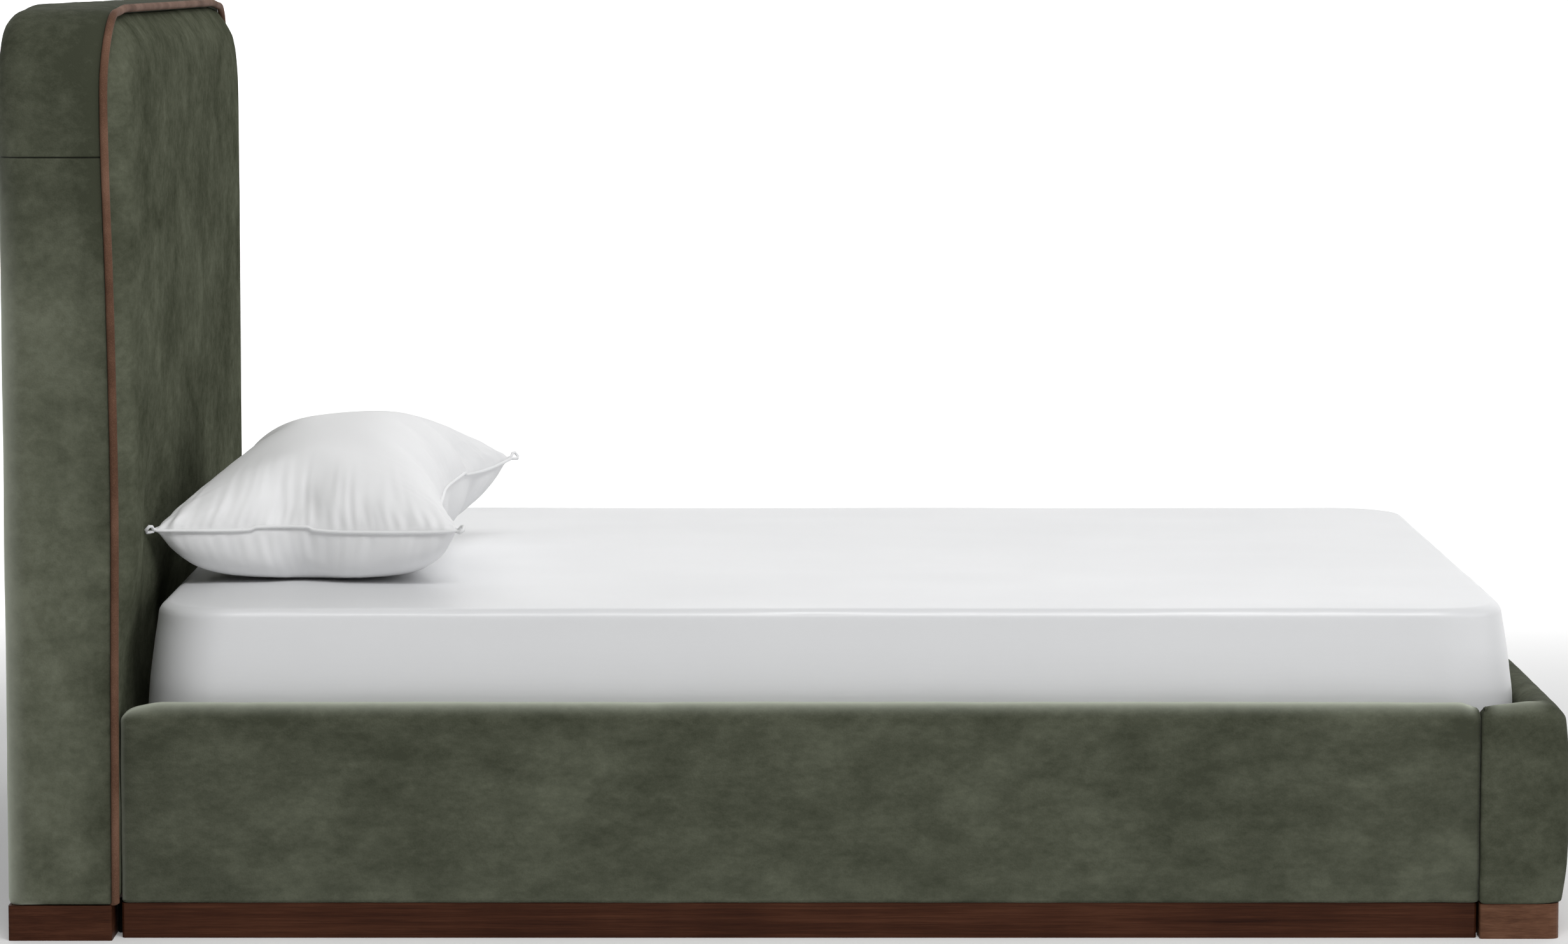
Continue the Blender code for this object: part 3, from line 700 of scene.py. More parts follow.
# distance in from the pad's edge, and its face along X there
PAD_FACE = [
    (0.000, -0.9920), (0.003, -0.9880), (0.008, -0.9840), (0.020, -0.9740), (0.045, -0.9600),
    (0.100, -0.9548), (0.400, -0.9800 + PAD_CROWN),
]
# y and z of the pillow's corner against the pad, and the radius and depth of the dent that it makes
PILLOW_DENT = (-0.53, 0.575, 0.12, 0.025)


def headboard_pad():
    """The crowned front pad: flat where the rails meet it and full above them."""
    low, high = (PAD_LOW.y, PAD_LOW.z), (PAD_HIGH.y, PAD_HIGH.z)
    steps = (130, 104, 14)
    limit = (high[1] - low[1]) / 2
    radius = SHOULDER - 0.015

    def face(inset, y, z):
        free = soft_step(z, 0.38, 0.58)
        dent_y, dent_z, reach, depth = PILLOW_DENT
        off = math.hypot(y - dent_y, z - dent_z) / reach
        full = along(PAD_FACE, inset) - depth * math.exp(-off * off)
        return min(full, PAD_AT_RAILS) * (1 - free) + full * free

    def ring(inset, x=None):
        """The pad's outline inset metres in, at x or else on its crowned face."""
        share = 1 - inset / limit
        radii = (0.004 * share, 0.004 * share, radius * share, radius * share)
        points = rounded_outline(
            (low[0] + inset, low[1] + inset), (high[0] - inset, high[1] - inset), radii, steps
        )
        return [
            (face(inset, y, z) if x is None else x, y, z + crown_drop(y, z)) for y, z in points
        ]

    rows = [ring(0.0, PAD_LOW.x), ring(0.0, -1.0010)]
    insets = [0.0, 0.0012, 0.003, 0.0055, 0.009, 0.014, 0.020, 0.028]
    insets += [0.028 + (limit - 0.028) * i / 56 for i in range(1, 57)]
    rows += [ring(inset) for inset in insets]
    back = ring(limit, PAD_LOW.x)
    obj = skin("headboard_pad", [back] + rows, VELVET_FRONT)

    def height(point, normal):
        if normal.x < 0.3:
            return 0.0
        edge = min(PAD_HIGH.y - abs(point.y), PAD_HIGH.z - point.z)
        pull = math.exp(-edge / 0.05) * 0.0012 * ripple((point.y, point.z, 0), 0.06, 2.0)
        return 0.0011 * ripple(point, 0.22, 6.0) * soft_step(point.z, 0.36, 0.5) + pull

    plump(obj, height)
    return place_piece(
        obj, "frame", ("headboard_front_cover", "headboard_front_foam")
    )


def headboard_dust_cloth():
    """Black cloth stapled over the back, with a pucker at each staple."""
    cloth_low, cloth_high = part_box("headboard_dust_cover")
    low, high = (cloth_low.y, cloth_low.z), (cloth_high.y, cloth_high.z)
    limit = (high[1] - low[1]) / 2
    steps = (150, 120, 10)
    radius = SHOULDER - 0.0553

    def ring(inset, x):
        share = 1 - inset / limit
        radii = (0.002 * share, 0.002 * share, radius * share, radius * share)
        points = rounded_outline(
            (low[0] + inset, low[1] + inset), (high[0] - inset, high[1] - inset), radii, steps
        )
        return [(x, y, z) for y, z in points]

    insets = [0.0, 0.002, 0.005, 0.009, 0.015, 0.024, 0.040]
    insets += [0.040 + (limit - 0.040) * i / 24 for i in range(1, 25)]
    outside = [ring(inset, cloth_low.x + 0.0006) for inset in reversed(insets)]
    inside = [ring(0.0, cloth_high.x), ring(limit, cloth_high.x)]
    obj = skin("headboard_dust_cloth", outside + inside, DUST_CLOTH)

    def height(point, normal):
        if normal.x > -0.3:
            return 0.0
        edge = min(cloth_high.y - abs(point.y), cloth_high.z - point.z, point.z - cloth_low.z)
        run = point.z if cloth_high.y - abs(point.y) < cloth_high.z - point.z else point.y
        pucker = math.exp(-edge / 0.020) * math.cos(math.tau * run / 0.055)
        return 0.0004 * pucker + 0.0005 * ripple(point, 0.30, 4.0)

    plump(obj, height)
    return place_piece(obj, "frame", ("headboard_dust_cover",))


# ---- side rails and footboard ----

RAIL_CROWN = 0.0020  # how far a rail's faces swell between its edges
TOP_ROUND, LOW_ROUND = 0.0265, 0.005  # of the pads' top and low edges
CORE_WALL = 0.0143  # from a rail's outside to the board in it
CORE_TOP = 0.3267  # just over the boards


def side_levels(low, high, steps):
    """(height, inset, share of the top rounding) from a pad's low edge up and over its top."""
    levels = [(low + drop, inset, 0.0) for inset, drop in reversed(edge_arc(LOW_ROUND, 5))]
    start, end = low + LOW_ROUND, high - TOP_ROUND
    levels += [(start + (end - start) * i / steps, 0.0, 0.0) for i in range(1, steps)]
    levels += [(high - drop, inset, inset / TOP_ROUND) for inset, drop in edge_arc(TOP_ROUND, 12)]
    return levels


def rail_pad(side):
    """A padded side rail, soft over its top and lower over both of its ends."""
    low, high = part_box("rail_cover_" + side)
    middle, half = (low.y + high.y) / 2, (high.y - low.y) / 2
    head_round, foot_round = 0.030, 0.0045

    def outline(start, end, across, corner):
        """From start to end along X, and across metres inside both faces."""
        near, far = middle - half + across, middle + half - across
        return rounded_outline((start, near), (end, far), (corner,) * 4, (190, 6, 5))

    def ring(z, inset, share, across=None):
        across = inset if across is None else across
        start, end = low.x + head_round * (inset / TOP_ROUND), high.x - foot_round * share
        if share == 0.0:
            start, end = low.x + inset, high.x - inset
        corner = 0.0085 * (1 - share) + 0.0002 if across < half - 0.002 else 0.0
        row = []
        for x, y in outline(start, end, across, corner):
            sag = 0.010 * (1 - soft_step(x, low.x, low.x + 0.060)) * share**0.5
            notch = 0.010 * soft_step(x, high.x - 0.034, high.x) ** 1.4 * share**0.5
            row.append((x, y, z - sag - notch))
        return row

    outside = [ring(*level) for level in side_levels(low.z, high.z, 22)]
    outside.append(ring(high.z, TOP_ROUND, 1.0, across=half))
    inside = [
        [(x, y, z) for x, y in outline(low.x + CORE_WALL, high.x - CORE_WALL, across, 0.0)]
        for z, across in ((low.z, CORE_WALL), (CORE_TOP, CORE_WALL), (CORE_TOP, half))
    ]
    obj = skin("rail_pad_" + side, outside[::-1] + inside, VELVET_RAIL)

    def height(point, normal):
        if abs(point.y - middle) < half - CORE_WALL + 0.001 and point.z < CORE_TOP + 0.001:
            return 0.0
        ends = hump(point.x, low.x, high.x, 0.05, 0.05)
        rise = hump(point.z, low.z, high.z, 0.06, 0.10)
        lift = RAIL_CROWN * (0.25 + 0.75 * ends) * rise * abs(normal.y)
        lift += 0.0006 * ripple(point, 0.13, 9.0) + 0.0004 * ripple(point, 0.045, 4.0)
        top = soft_step(point.z, high.z - 0.03, high.z)
        lift += 0.0010 * top * ends * ripple((point.x, 0, 0), 0.30, 2.0)
        return lift

    plump(obj, height)
    return place_piece(
        obj, "frame", ("rail_cover_" + side, "rail_foam_" + side)
    )


FOOT_LOW, FOOT_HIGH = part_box("footboard_cover")
FOOT_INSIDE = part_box("corner_angle_foot_left")[1].x + 0.0003  # its face towards the mattress
FOOT_THICK = FOOT_HIGH.x - FOOT_INSIDE
FOOT_ROUND = 0.036  # outer corners in plan
FOOT_INNER_ROUND = 0.0008
FOOT_SWELL = 0.0085  # of the footboard's outer face
# height of the rise over its returns, how far it lies from the join, and its width
RETURN_HUMP = (0.0035, 0.076, 0.024)
# how far its top falls at the join and at its outer corners, and over what run
JOIN_DROP, CORNER_DROP = (0.0085, 0.020), (0.009, 0.034)


def foot_ring(z, inset, end_inset, corner=FOOT_ROUND):
    """A footboard's outline at z: the outside of one return, round the foot and the other return,
    then back along the inside. The two halves of the row face each other."""
    start = FOOT_LOW.x + end_inset
    end_round = 0.006 * (1 - min(1.0, inset / TOP_ROUND)) + 0.0002
    outer = (FOOT_HIGH.x - corner, FOOT_HIGH.y - corner, corner - inset, 1)
    edge = FOOT_INNER_ROUND
    inner = (FOOT_INSIDE - edge, FOOT_HIGH.y - FOOT_THICK - edge, edge + inset, -1)
    halves = []
    for middle_x, middle_y, radius, side in (outer, inner):
        face = middle_y + radius
        rounding = edge_arc(end_round, 4)
        seam = [(start + along_x, -face + side * in_y) for along_x, in_y in rounding]
        run = middle_x - start - end_round
        seam += [(start + end_round + run * i / 9, -face) for i in range(1, 9)]
        turns = [QUARTER * i / 12 for i in range(13)]
        seam += [(middle_x + radius * math.sin(t), -middle_y - radius * math.cos(t)) for t in turns]
        seam += [(middle_x + radius, -middle_y + middle_y * i / 80) for i in range(1, 80)]
        halves.append(seam + [(middle_x + radius, 0.0)] + [(x, -y) for x, y in reversed(seam)])
    return [(x, y, z) for x, y in halves[0] + halves[1][::-1]]


def top_line(point):
    """How far the footboard's top stands up from level over its returns and corners."""
    from_join = max(0.0, point.x - FOOT_LOW.x)
    tall, place, width = RETURN_HUMP
    over_return = tall * math.exp(-(((from_join - place) / width) ** 2))
    over_return -= JOIN_DROP[0] * math.exp(-from_join / JOIN_DROP[1])
    from_corner = math.hypot(point.x - FOOT_HIGH.x, abs(point.y) - FOOT_HIGH.y)
    at_corner = CORNER_DROP[0] * math.exp(-from_corner / CORNER_DROP[1])
    return over_return * soft_step(abs(point.y), 0.70, 0.79) - at_corner


def footboard_pad():
    """The padded footboard, which wraps round both corners to meet the rails."""
    low, high = FOOT_LOW.z, FOOT_HIGH.z
    outside = []
    for z, inset, share in side_levels(low, high, 22):
        outside.append(foot_ring(z, inset, end_inset=inset if share == 0.0 else 0.0045 * share))
    cavity = [foot_ring(z, CORE_WALL, CORE_WALL, corner=0.030) for z in (low, CORE_TOP)]
    obj = skin("footboard_pad", outside[::-1] + cavity, VELVET_FOOT, caps="fold")

    def height(point, normal):
        beside = max(abs(point.y) - (FOOT_HIGH.y - FOOT_THICK), point.x - FOOT_INSIDE)
        over_board = CORE_WALL - 0.001 < beside < FOOT_THICK - CORE_WALL + 0.001
        if over_board and point.z < CORE_TOP + 0.001:
            return 0.0
        seam = soft_step(point.x, FOOT_LOW.x, FOOT_LOW.x + 0.04)
        rise = hump(point.z, low, high, 0.06, 0.10)
        facing = max(abs(normal.y), abs(normal.x))
        lift = RAIL_CROWN * seam * rise * facing * (1 if beside > FOOT_THICK / 2 else 0.3)
        end = soft_step(point.x, FOOT_HIGH.x - 0.030, FOOT_HIGH.x) * abs(normal.x)
        swell = math.sin(math.pi * (point.z - low) / (high - low)) ** 0.7
        lift += end * (FOOT_SWELL * swell - 0.004)
        lift += 0.0006 * ripple(point, 0.13, 12.0) + 0.0004 * ripple(point, 0.045, 5.0)
        return lift + soft_step(point.z, high - 0.022, high) * top_line(point)

    plump(obj, height)
    return place_piece(obj, "frame", ("footboard_cover", "footboard_foam"))


# near-black tones of the painted shade in the plinth's gaps
SHADOW_BLOCK_TONES = ((0.004, 0.004, 0.004), (0.006, 0.005, 0.004), (0.010, 0.008, 0.006))
BLOCK_GAP, BLOCK_FACE = 0.0003, 0.0200  # from the plinth to a block, and to the block's far face
BLOCK_LEVELS = ((0.0006, 0.002), (0.0026, 0.0), (0.0490, 0.0), (0.0510, 0.002))  # height and inset


def shadow_blocks():
    """Near-black blocks inside the plinth that close the gaps between its lengths: painted shade
    for the shadow in those gaps.
    """
    finish = timber("painted_shadow_block", (0.03, 0.3, 0.03), *SHADOW_BLOCK_TONES, gloss=0.02)
    for side in ("left", "right"):
        low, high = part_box("rail_plinth_" + side)
        inner, inward = (low.y, -1) if side == "left" else (high.y, 1)
        near, far = sorted((inner + inward * BLOCK_GAP, inner + inward * BLOCK_FACE))
        spans = {"head": (low.x - 0.011, low.x + 0.045), "foot": (high.x - 0.035, high.x + 0.040)}
        for end, (start, stop) in spans.items():
            rows = []
            for z, inset in BLOCK_LEVELS:
                corners = (start + inset, near + inset), (stop - inset, far - inset)
                outline = rounded_outline(*corners, (0.002,) * 4, (6, 3, 3))
                rows.append([(x, y, z) for x, y in outline])
            obj = skin("plinth_shadow_block_%s_%s" % (end, side), rows, finish, caps="flat")
            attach(obj, "frame")


# ---- mattress and fitted sheet ----

BED_LOW, BED_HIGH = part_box("fitted_sheet")
MATTRESS_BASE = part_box("mattress")[0].z
BED_MIDDLE = 0.065  # of the mattress along X
BED_CORNER = 0.112  # radius of its corners in plan
BED_EDGE, BED_LOW_ROUND = 0.015, 0.016  # how far its top and low edges are rounded
SHEET_THICK = 0.0010
TICKING_INSET = 0.0016  # from the sheet's outside to the ticking
# height over the floor, and how far the ends and the sides stand out from the CAD solid there
END_BOW = [
    (0.230, -0.0060), (0.250, 0.0000), (0.300, 0.0065), (0.345, 0.0055),
    (0.380, 0.0020), (0.420, -0.0030), (0.450, -0.0080), (0.480, -0.0120),
]
SIDE_BOW = [
    (0.230, -0.006), (0.250, -0.001), (0.290, 0.004),
    (0.340, 0.004), (0.400, 0.000), (0.445, -0.003),
]


def bed_rings(low, high, offset):
    """Outlines of the mattress from its low edge, up its bowed sides and in to the middle of its
    top, all offset metres inside the sheet's outside."""
    limit = (BED_HIGH.y - BED_LOW.y) / 2 - offset
    side_low, side_top = low + BED_LOW_ROUND, high - BED_EDGE
    levels = [(low + drop, inset) for inset, drop in reversed(edge_arc(BED_LOW_ROUND, 4))]
    levels += [(side_low + (side_top - side_low) * i / 20, 0.0) for i in range(1, 20)]
    levels += [(high - drop, inset) for inset, drop in edge_arc(BED_EDGE - offset, 9)]
    rows = []
    inset = levels[-1][1]
    levels += [(high, inset + (limit + SIDE_BOW[-1][1] - inset) * i / 60) for i in range(1, 61)]
    for z, inset in levels:
        ends, sides = along(END_BOW, z) - offset, along(SIDE_BOW, z) - offset
        share = 1 - max(0.0, inset - BED_EDGE) / (limit - BED_EDGE)
        corner = max(0.0, (BED_CORNER - offset) * share - min(inset, BED_EDGE) * 0.6)
        corner *= min(1.0, share * 30)
        points = rounded_outline(
            (BED_LOW.x - ends + inset, BED_LOW.y - sides + inset),
            (BED_HIGH.x + ends - inset, BED_HIGH.y + sides - inset),
            (corner,) * 4,
            (170, 120, 18),
        )
        rows.append([(x, y, z) for x, y in points])
    return rows


def bed_creases(point, normal):
    """The sheet is pulled smooth: long shallow folds along it and a little slack at its corners."""
    x, y, z = point
    from_end = BED_HIGH.x + BED_MIDDLE - abs(x - BED_MIDDLE)  # from a line a little past each end
    from_side = BED_HIGH.y - abs(y)
    if normal.z > 0.6:
        dome = 0.0030 * soft_step(min(from_end, from_side), 0.0, 0.35)
        dome += 0.0007 * ripple((x * 0.35, y, 0), 0.09, 3.0)
        return dome + 0.0008 * ripple((x, y, 0), 0.30, 5.0)
    lift = 0.0005 * ripple((x * 0.25, y * 0.25, z), 0.030, 7.0)
    lift += 0.0006 * ripple((x, y, z * 0.3), 0.11, 1.0)
    near_corner = math.exp(-math.hypot(from_end - 0.05, from_side - 0.05) / 0.10)
    return lift + 0.0012 * near_corner * ripple((x, y, z * 0.2), 0.035, 2.0)


def mattress_core():
    """The mattress in its ticking, just inside the sheet."""
    rows = bed_rings(MATTRESS_BASE, BED_HIGH.z - TICKING_INSET, TICKING_INSET)
    obj = skin("mattress_core", rows, TICKING, caps="flat")
    hem = BED_LOW.z + 0.03
    plump(obj, lambda point, normal: bed_creases(point, normal) if point.z > hem else 0.0)
    return place_piece(obj, "bed_mattress", ("mattress",))


def fitted_sheet():
    """White sateen pulled over the mattress and open under it."""
    outside = bed_rings(BED_LOW.z, BED_HIGH.z, 0.0)
    inside = bed_rings(BED_LOW.z, BED_HIGH.z - SHEET_THICK, SHEET_THICK)
    obj = skin("sateen_fitted_sheet", outside[::-1] + inside, SHEET_COTTON)

    def height(point, normal):
        return bed_creases(point, normal) * (1 if is_outward(point, normal) else -1)

    plump(obj, height)
    return place_piece(obj, "bed_mattress", ("fitted_sheet",))


def is_outward(point, normal):
    """True on the outside of the sheet: its normals point away from the mattress's middle."""
    middle = Vector((BED_MIDDLE, 0.0, 0.30))
    return (point - middle).dot(normal) > 0


# ---- pillow ----

CUT_LENGTH, CUT_WIDTH = 0.780, 0.535  # each panel of the pillow before it is filled
PILLOW_MESH = 0.0075
ACROSS, LONG = round(CUT_WIDTH / PILLOW_MESH), round(CUT_LENGTH / PILLOW_MESH)  # squares of a panel
RIM_CORNERS = {0, ACROSS, ACROSS + LONG, 2 * ACROSS + LONG}  # the corners' places along its seam
PLAIN_CORNER = 2 * ACROSS + LONG  # the corner where the cord has no loop
FILL_FRAMES = 34
RIM_PASSES, PANEL_PASSES = 60, 16  # how often the seam and the panels are evened out once filled
PILLOW_CORD = 0.0026  # radius of the cord in its seam
PILLOW_SEAM = 0.087  # height of its near seam over the mattress
PILLOW_RISE = 0.052  # how much higher its far seam lies
PILLOW_TALL = 0.240
PILLOW_UNDER = 0.126  # depth under the seam, before the bed flattens it
PILLOW_HALF_WIDTH, PILLOW_HALF_LENGTH = 0.241, 0.358  # to its corners once it is filled
PILLOW_PLACE, PILLOW_TURN = (-0.715, -0.150), -3.2  # its middle on the bed, and its turn in degrees
# gathers along the long and the short seams: their spacing and depth
LONG_SEAM_GATHERS, SHORT_SEAM_GATHERS = (0.0085, 0.0034), (0.0135, 0.0062)
GATHER_REACH = 0.060  # how far in from the seam the gathers fade
GATHER_LEAN = 2.5  # how fast they draw together away from it
# the cord's loop at a corner: how far it runs out and across
CORNER_LOOP = (
    (0.0, -0.0015), (0.006, -0.0050), (0.012, -0.0055), (0.0165, 0.0),
    (0.012, 0.0055), (0.006, 0.0050), (0.0, 0.0015),
)


def sewn_panels():
    """Two flat panels sewn together all round, a little apart so that filling parts them."""
    vertices, index = [], {}
    for layer in (1, -1):
        for i in range(ACROSS + 1):
            for j in range(LONG + 1):
                rim = i in (0, ACROSS) or j in (0, LONG)
                if rim and layer == -1:
                    index[-1, i, j] = index[1, i, j]
                    continue
                index[layer, i, j] = len(vertices)
                x, y = (i / ACROSS - 0.5) * CUT_WIDTH, (j / LONG - 0.5) * CUT_LENGTH
                wobble = 0.0008 * ripple((x, y, layer), 0.03, 3.0)
                vertices.append((x, y, 0.0 if rim else layer * (0.002 + wobble)))
    faces = []
    for layer in (1, -1):
        for i in range(ACROSS):
            for j in range(LONG):
                round_square = (i, j), (i + 1, j), (i + 1, j + 1), (i, j + 1)
                face = [index[(layer, *corner)] for corner in round_square]
                faces.append(face if layer == 1 else face[::-1])
    rim = [index[1, i, 0] for i in range(ACROSS)]
    rim += [index[1, ACROSS, j] for j in range(LONG)]
    rim += [index[1, i, LONG] for i in range(ACROSS, 0, -1)]
    rim += [index[1, 0, j] for j in range(LONG, 0, -1)]
    mesh = bpy.data.meshes.new("pillow_case")
    mesh.from_pydata(vertices, [], faces)
    mesh.update()
    return mesh, rim


def fill_with_down(obj, frames):
    """Cloth simulation: the sewn panels swell and pucker along their seam."""
    scene = bpy.context.scene
    cloth = obj.modifiers.new("Cloth", "CLOTH")
    fabric = cloth.settings
    fabric.quality = 7
    fabric.mass = 0.12
    fabric.tension_stiffness = fabric.compression_stiffness = 22
    fabric.shear_stiffness = 6
    fabric.bending_stiffness = 0.04
    fabric.tension_damping = fabric.compression_damping = 8
    fabric.air_damping = 2.0
    fabric.use_pressure = True
    fabric.uniform_pressure_force = 5.5
    fabric.effector_weights.gravity = 0
    cloth.collision_settings.use_collision = False
    cloth.point_cache.frame_start, cloth.point_cache.frame_end = 1, frames
    for number in range(1, frames + 1):
        scene.frame_set(number)
    shaped = obj.evaluated_get(bpy.context.evaluated_depsgraph_get())
    points = [v.co.copy() for v in shaped.data.vertices]
    obj.modifiers.remove(cloth)
    scene.frame_set(1)
    return points


def smoothed(mesh, points, rim):
    """The filled shape without its widest buckles, which down evens out inside a pillow."""
    edge = [points[i] for i in rim]
    for _ in range(RIM_PASSES):
        edge = [
            p if n in RIM_CORNERS else p * 0.5 + (edge[n - 1] + edge[(n + 1) % len(edge)]) * 0.25
            for n, p in enumerate(edge)
        ]
    work = bmesh.new()
    work.from_mesh(mesh)
    work.verts.ensure_lookup_table()
    for vertex, point in zip(work.verts, points):
        vertex.co = point
    for i, point in zip(rim, edge):
        work.verts[i].co = point
    on_rim = set(rim)
    inner = [v for v in work.verts if v.index not in on_rim]
    for _ in range(PANEL_PASSES):
        bmesh.ops.smooth_vert(
            work, verts=inner, factor=0.5, use_axis_x=True, use_axis_y=True, use_axis_z=True
        )
    shaped = [v.co.copy() for v in work.verts]
    work.free()
    return shaped


def lay_on_bed(points):
    """Turns the filled pillow, lifts its far side and flattens its underside on the sheet."""
    tallest, lowest = max(p.z for p in points), -min(p.z for p in points)
    widest, longest = max(abs(p.x) for p in points), max(abs(p.y) for p in points)
    turn = math.radians(PILLOW_TURN)
    laid = []
    for p in points:
        side, end = p.x / widest, p.y / longest
        side, end = side * (1 + 0.065 * (1 - end * end)), end * (1 + 0.050 * (1 - side * side))
        far = soft_step(end, -1.0, 1.1) * (0.55 + 0.45 * side)
        seam = PILLOW_SEAM + PILLOW_RISE * far + 0.004 * abs(side) ** 3
        if p.z >= 0:
            rounded = p.z / tallest * (1.02 - 0.10 * side * side)
            height = seam + rounded * (PILLOW_TALL - PILLOW_SEAM - PILLOW_RISE * 0.5)
        else:
            height = seam - (-p.z / lowest) ** 0.66 * PILLOW_UNDER
            height = 0.5 * (height + math.sqrt(height * height + 0.020**2)) - 0.004
        x, y = side * PILLOW_HALF_WIDTH, end * PILLOW_HALF_LENGTH
        laid.append(
            Vector((
                x * math.cos(turn) - y * math.sin(turn) + PILLOW_PLACE[0],
                x * math.sin(turn) + y * math.cos(turn) + PILLOW_PLACE[1],
                BED_HIGH.z + 0.0045 + max(0.0, height),
            ))
        )
    return laid


def divided(obj):
    """obj's mesh with one subdivision applied."""
    if obj.name not in bpy.context.scene.objects:
        bpy.context.scene.collection.objects.link(obj)
    modifier = obj.modifiers.new("Subdivision", "SUBSURF")
    modifier.levels = 1
    mesh = bpy.data.meshes.new_from_object(obj.evaluated_get(bpy.context.evaluated_depsgraph_get()))
    obj.modifiers.remove(modifier)
    return mesh


def gathers(place):
    """Folds that the sewing leaves square to the seam, at a place on the flat panel."""
    height = 0.0
    side, end = CUT_WIDTH / 2 - abs(place.x), CUT_LENGTH / 2 - abs(place.y)
    upper = place.z > 0
    for run, off, (pitch, depth) in (
        (place.y, side, LONG_SEAM_GATHERS),
        (place.x, end, SHORT_SEAM_GATHERS),
    ):
        run *= 1 + GATHER_LEAN * off
        fold = noise.noise(Vector((run / pitch, off / 0.10, 3.0 if upper else 9.0)))
        fold += 0.6 * noise.noise(Vector((run / pitch / 2.3, off / 0.14, 5.0 if upper else 1.0)))
        fullness = 0.75 + 0.8 * noise.noise(Vector((run / 0.055, 2.0, 4.0)))
        fade = math.exp(-off / GATHER_REACH) * (1 - math.exp(-off / 0.004))
        height += depth * fold * fade * fullness * (1.0 if upper else 0.4)
    return height


def corner_loop(corner, middle, side_run):
    """The cord turns back on itself in a small loop at a corner."""
    out = (corner - middle).to_2d().normalized().to_3d()
    across = Vector((-out.y * 0.5, out.x * 0.5, 0.87))
    if across.dot(side_run) < 0:
        across.x, across.y = -across.x, -across.y
    return [
        corner + out * far + across * off + Vector((0, 0, 0.003 * math.sin(far * 150)))
        for far, off in CORNER_LOOP
    ]


def pillow_cord(seam):
    """The cord's middle line just outside the seam, with its loops."""
    middle = sum(seam, Vector()) / len(seam)
    cord = []
    for n, point in enumerate(seam):
        run = seam[(n + 1) % len(seam)] - seam[n - 1]
        if n in RIM_CORNERS - {PLAIN_CORNER}:
            cord += corner_loop(point, middle, run)
        else:
            out = Vector((run.y, -run.x, 0)).normalized()
            cord.append(point + out * (0.0020 if out.dot(point - middle) > 0 else -0.0020))
    return cord


def pillow_welt(cord):
    """A cotton-covered cord round the line in cord."""
    rows = []
    turns = [math.tau * k / 10 for k in range(10)]
    for n, point in enumerate(cord):
        run = (cord[(n + 1) % len(cord)] - cord[n - 1]).normalized()
        out = Vector((run.y, -run.x, 0)).normalized()
        up = out.cross(run).normalized()
        rows.append([point + PILLOW_CORD * (math.cos(t) * out + math.sin(t) * up) for t in turns])
    welt = skin("pillow_welt", rows, PILLOW_COTTON, loop=True)
    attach(welt, "bed_pillow")


def down_pillow():
    """A down pillow: filled, laid on the bed and corded along its seam."""
    mesh, rim = sewn_panels()
    obj = new_piece("down_pillow", mesh, PILLOW_COTTON)
    points = fill_with_down(obj, FILL_FRAMES)
    flat = obj.copy()
    flat.data = mesh.copy()
    for vertex, point in zip(mesh.vertices, lay_on_bed(smoothed(mesh, points, rim))):
        vertex.co = point
    seam = [mesh.vertices[i].co.copy() for i in rim]
    fine, cut = divided(obj), divided(flat)
    bpy.data.objects.remove(flat)
    for face in fine.polygons:
        face.use_smooth = True
    obj.data = fine
    places = [v.co.copy() for v in cut.vertices]
    moves = [(v, v.normal.copy(), gathers(places[v.index])) for v in fine.vertices]
    for vertex, normal, height in moves:
        vertex.co += normal * height
    place_piece(obj, "bed_pillow", ("pillow",))
    pillow_welt(pillow_cord(seam))


# ---- finishes of the CAD pieces that show as they are ----

CAD_FINISHES = {
    PINE: ("rail_board", "rail_ledger", "centre_beam"),
    PINE_ACROSS: ("headboard_top_rail", "headboard_bottom_rail", "footboard_board", "slat"),
    PINE_UPRIGHT: ("headboard_post", "support_leg"),
    PLYWOOD: ("headboard_front_panel", "headboard_back_panel"),
    WALNUT_ENDS: ("headboard_plinth",),
    WALNUT_ALONG: ("rail_plinth",),
    WALNUT_PALE: ("footboard_plinth",),
    STEEL: ("centre_saddle", "corner_angle", "frame_bolt", "rail_bolt"),
    NYLON: ("leveller_foot",),
}


def finish_cad_pieces():
    for name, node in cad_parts.items():
        for finish, starts in CAD_FINISHES.items():
            if name.startswith(starts):
                node.data.materials.clear()
                node.data.materials.append(finish)


# ---- studio ----

CAMERA_PLACE = (-0.0047, -8.72, 1.4285)
CAMERA_TILT, CAMERA_LENS = 5.345, 124.55  # degrees below level, and millimetres
SWEEP_ROUND, SWEEP_STEPS = 5.0, 12  # where the floor turns up behind the bed
# name, place, point it faces, size along its two sides, power in watts
SOFTBOXES = (
    ("front_softbox", (1.1, -5.2, 6.2), (0.0, 0.0, 0.4), (4.5, 2.5), 300),
    ("top_softbox", (0.4, 0.6, 4.6), (0.0, 0.0, 0.3), (4.5, 3.5), 18),
    ("foot_softbox", (6.0, -1.5, 2.4), (-0.9, 0.0, 0.7), (3.0, 3.0), 44),
)


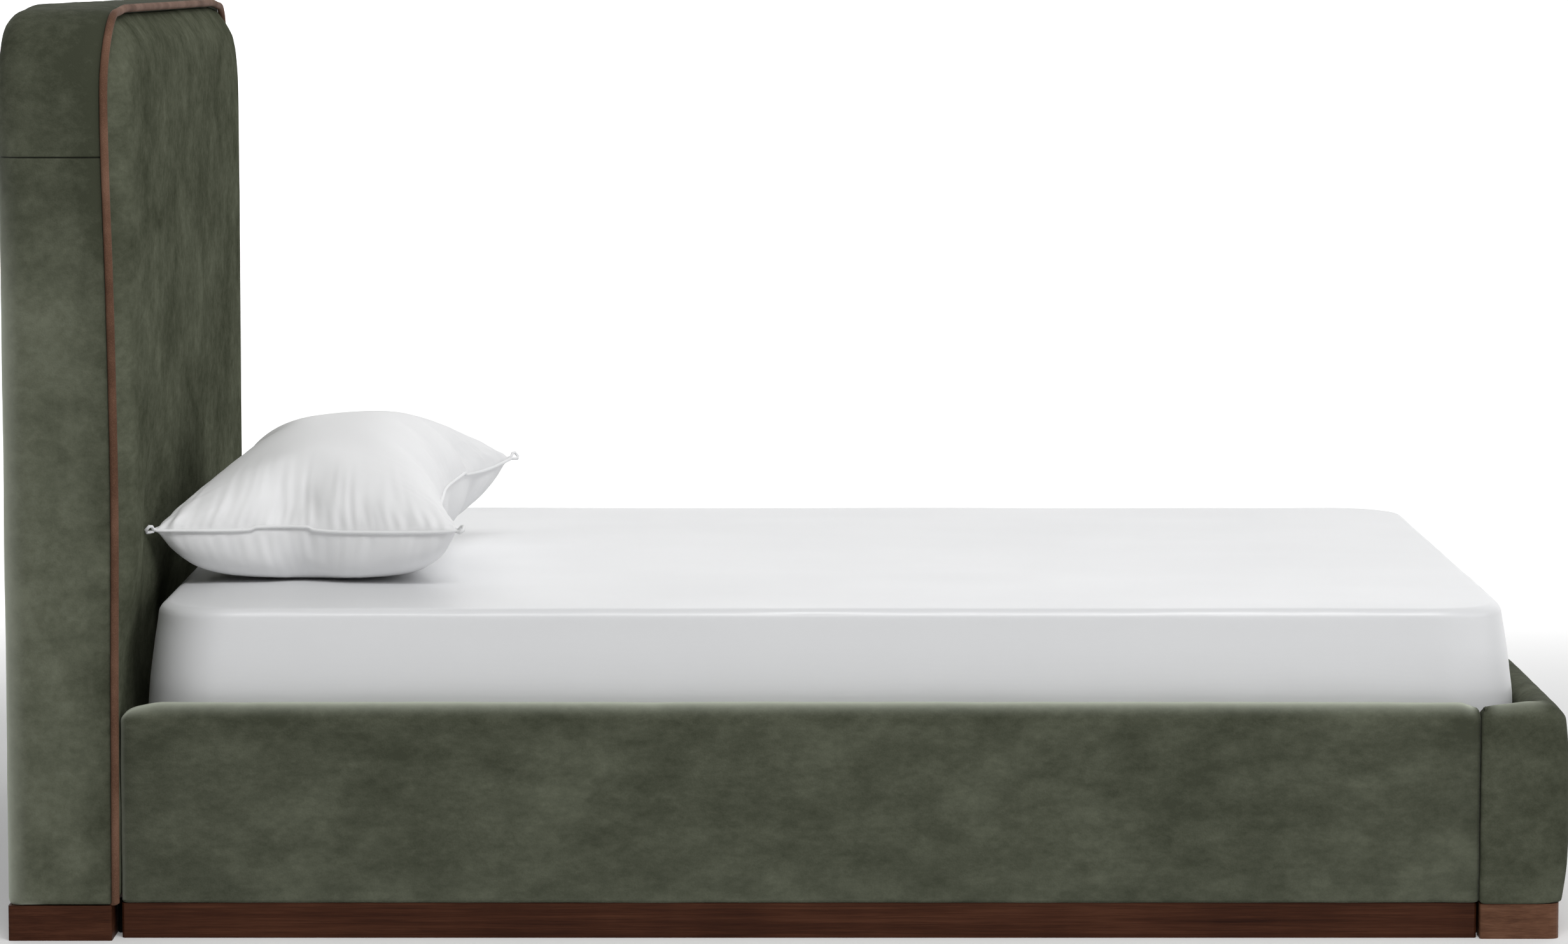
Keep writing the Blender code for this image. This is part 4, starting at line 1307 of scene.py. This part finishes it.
def studio():
    """A pale sweep of floor, soft boxes and the camera."""
    floor_finish = Finish("pale_floor", Specular_IOR_Level=0.1, Emission_Strength=1.0)
    shade = floor_finish.clouds(2.5, detail=2.0)
    pale = floor_finish.blend(shade, (0.80, 0.80, 0.80), (0.82, 0.82, 0.82))
    behind = floor_finish.axis("Y").between(1.2, 5.0)
    glow = floor_finish.blend(behind, (0.12, 0.12, 0.12), (0.90, 0.90, 0.90))
    floor_finish.wear(Base_Color=pale, Emission_Color=glow, Roughness=0.9 + shade * 0.1)
    profile = [(-16.0, 0.0), (-6.0, 0.0), (4.0, 0.0), (8.0, 0.0)]
    turns = [QUARTER * i / SWEEP_STEPS for i in range(1, SWEEP_STEPS + 1)]
    profile += [
        (8.0 + SWEEP_ROUND * math.sin(t), SWEEP_ROUND - SWEEP_ROUND * math.cos(t)) for t in turns
    ]
    profile.append((13.0, 14.0))
    rows = [[(x, y, z) for x in (-18.0, -6.0, 6.0, 18.0)] for y, z in profile]
    floor = skin("studio_floor", rows, floor_finish.material, ring=False)

    world = bpy.data.worlds.new("studio_air")
    bpy.context.scene.world = world
    world.use_nodes = True
    air = world.node_tree.nodes["Background"].inputs
    air["Color"].default_value = (1.0, 1.0, 1.0, 1)
    air["Strength"].default_value = 0.24

    for name, place, target, size, power in SOFTBOXES:
        lamp = bpy.data.lights.new(name, "AREA")
        lamp.shape, lamp.size, lamp.size_y, lamp.energy = "RECTANGLE", size[0], size[1], power
        obj = bpy.data.objects.new(name, lamp)
        obj.location = place
        obj.rotation_euler = (Vector(target) - Vector(place)).to_track_quat("-Z", "Y").to_euler()
        bpy.context.scene.collection.objects.link(obj)

    camera = bpy.data.objects.new("camera", bpy.data.cameras.new("camera"))
    camera.data.lens, camera.data.sensor_width = CAMERA_LENS, 36.0
    camera.data.clip_end = 100.0
    camera.location = CAMERA_PLACE
    camera.rotation_euler = (math.radians(90 - CAMERA_TILT), 0.0, 0.0)
    bpy.context.scene.collection.objects.link(camera)
    bpy.context.scene.camera = camera
    bpy.context.scene.view_settings.view_transform = "Standard"


headboard_border()
headboard_welt()
headboard_pad()
headboard_dust_cloth()
rail_pad("left")
rail_pad("right")
footboard_pad()
shadow_blocks()
mattress_core()
fitted_sheet()
down_pillow()
finish_cad_pieces()
studio()
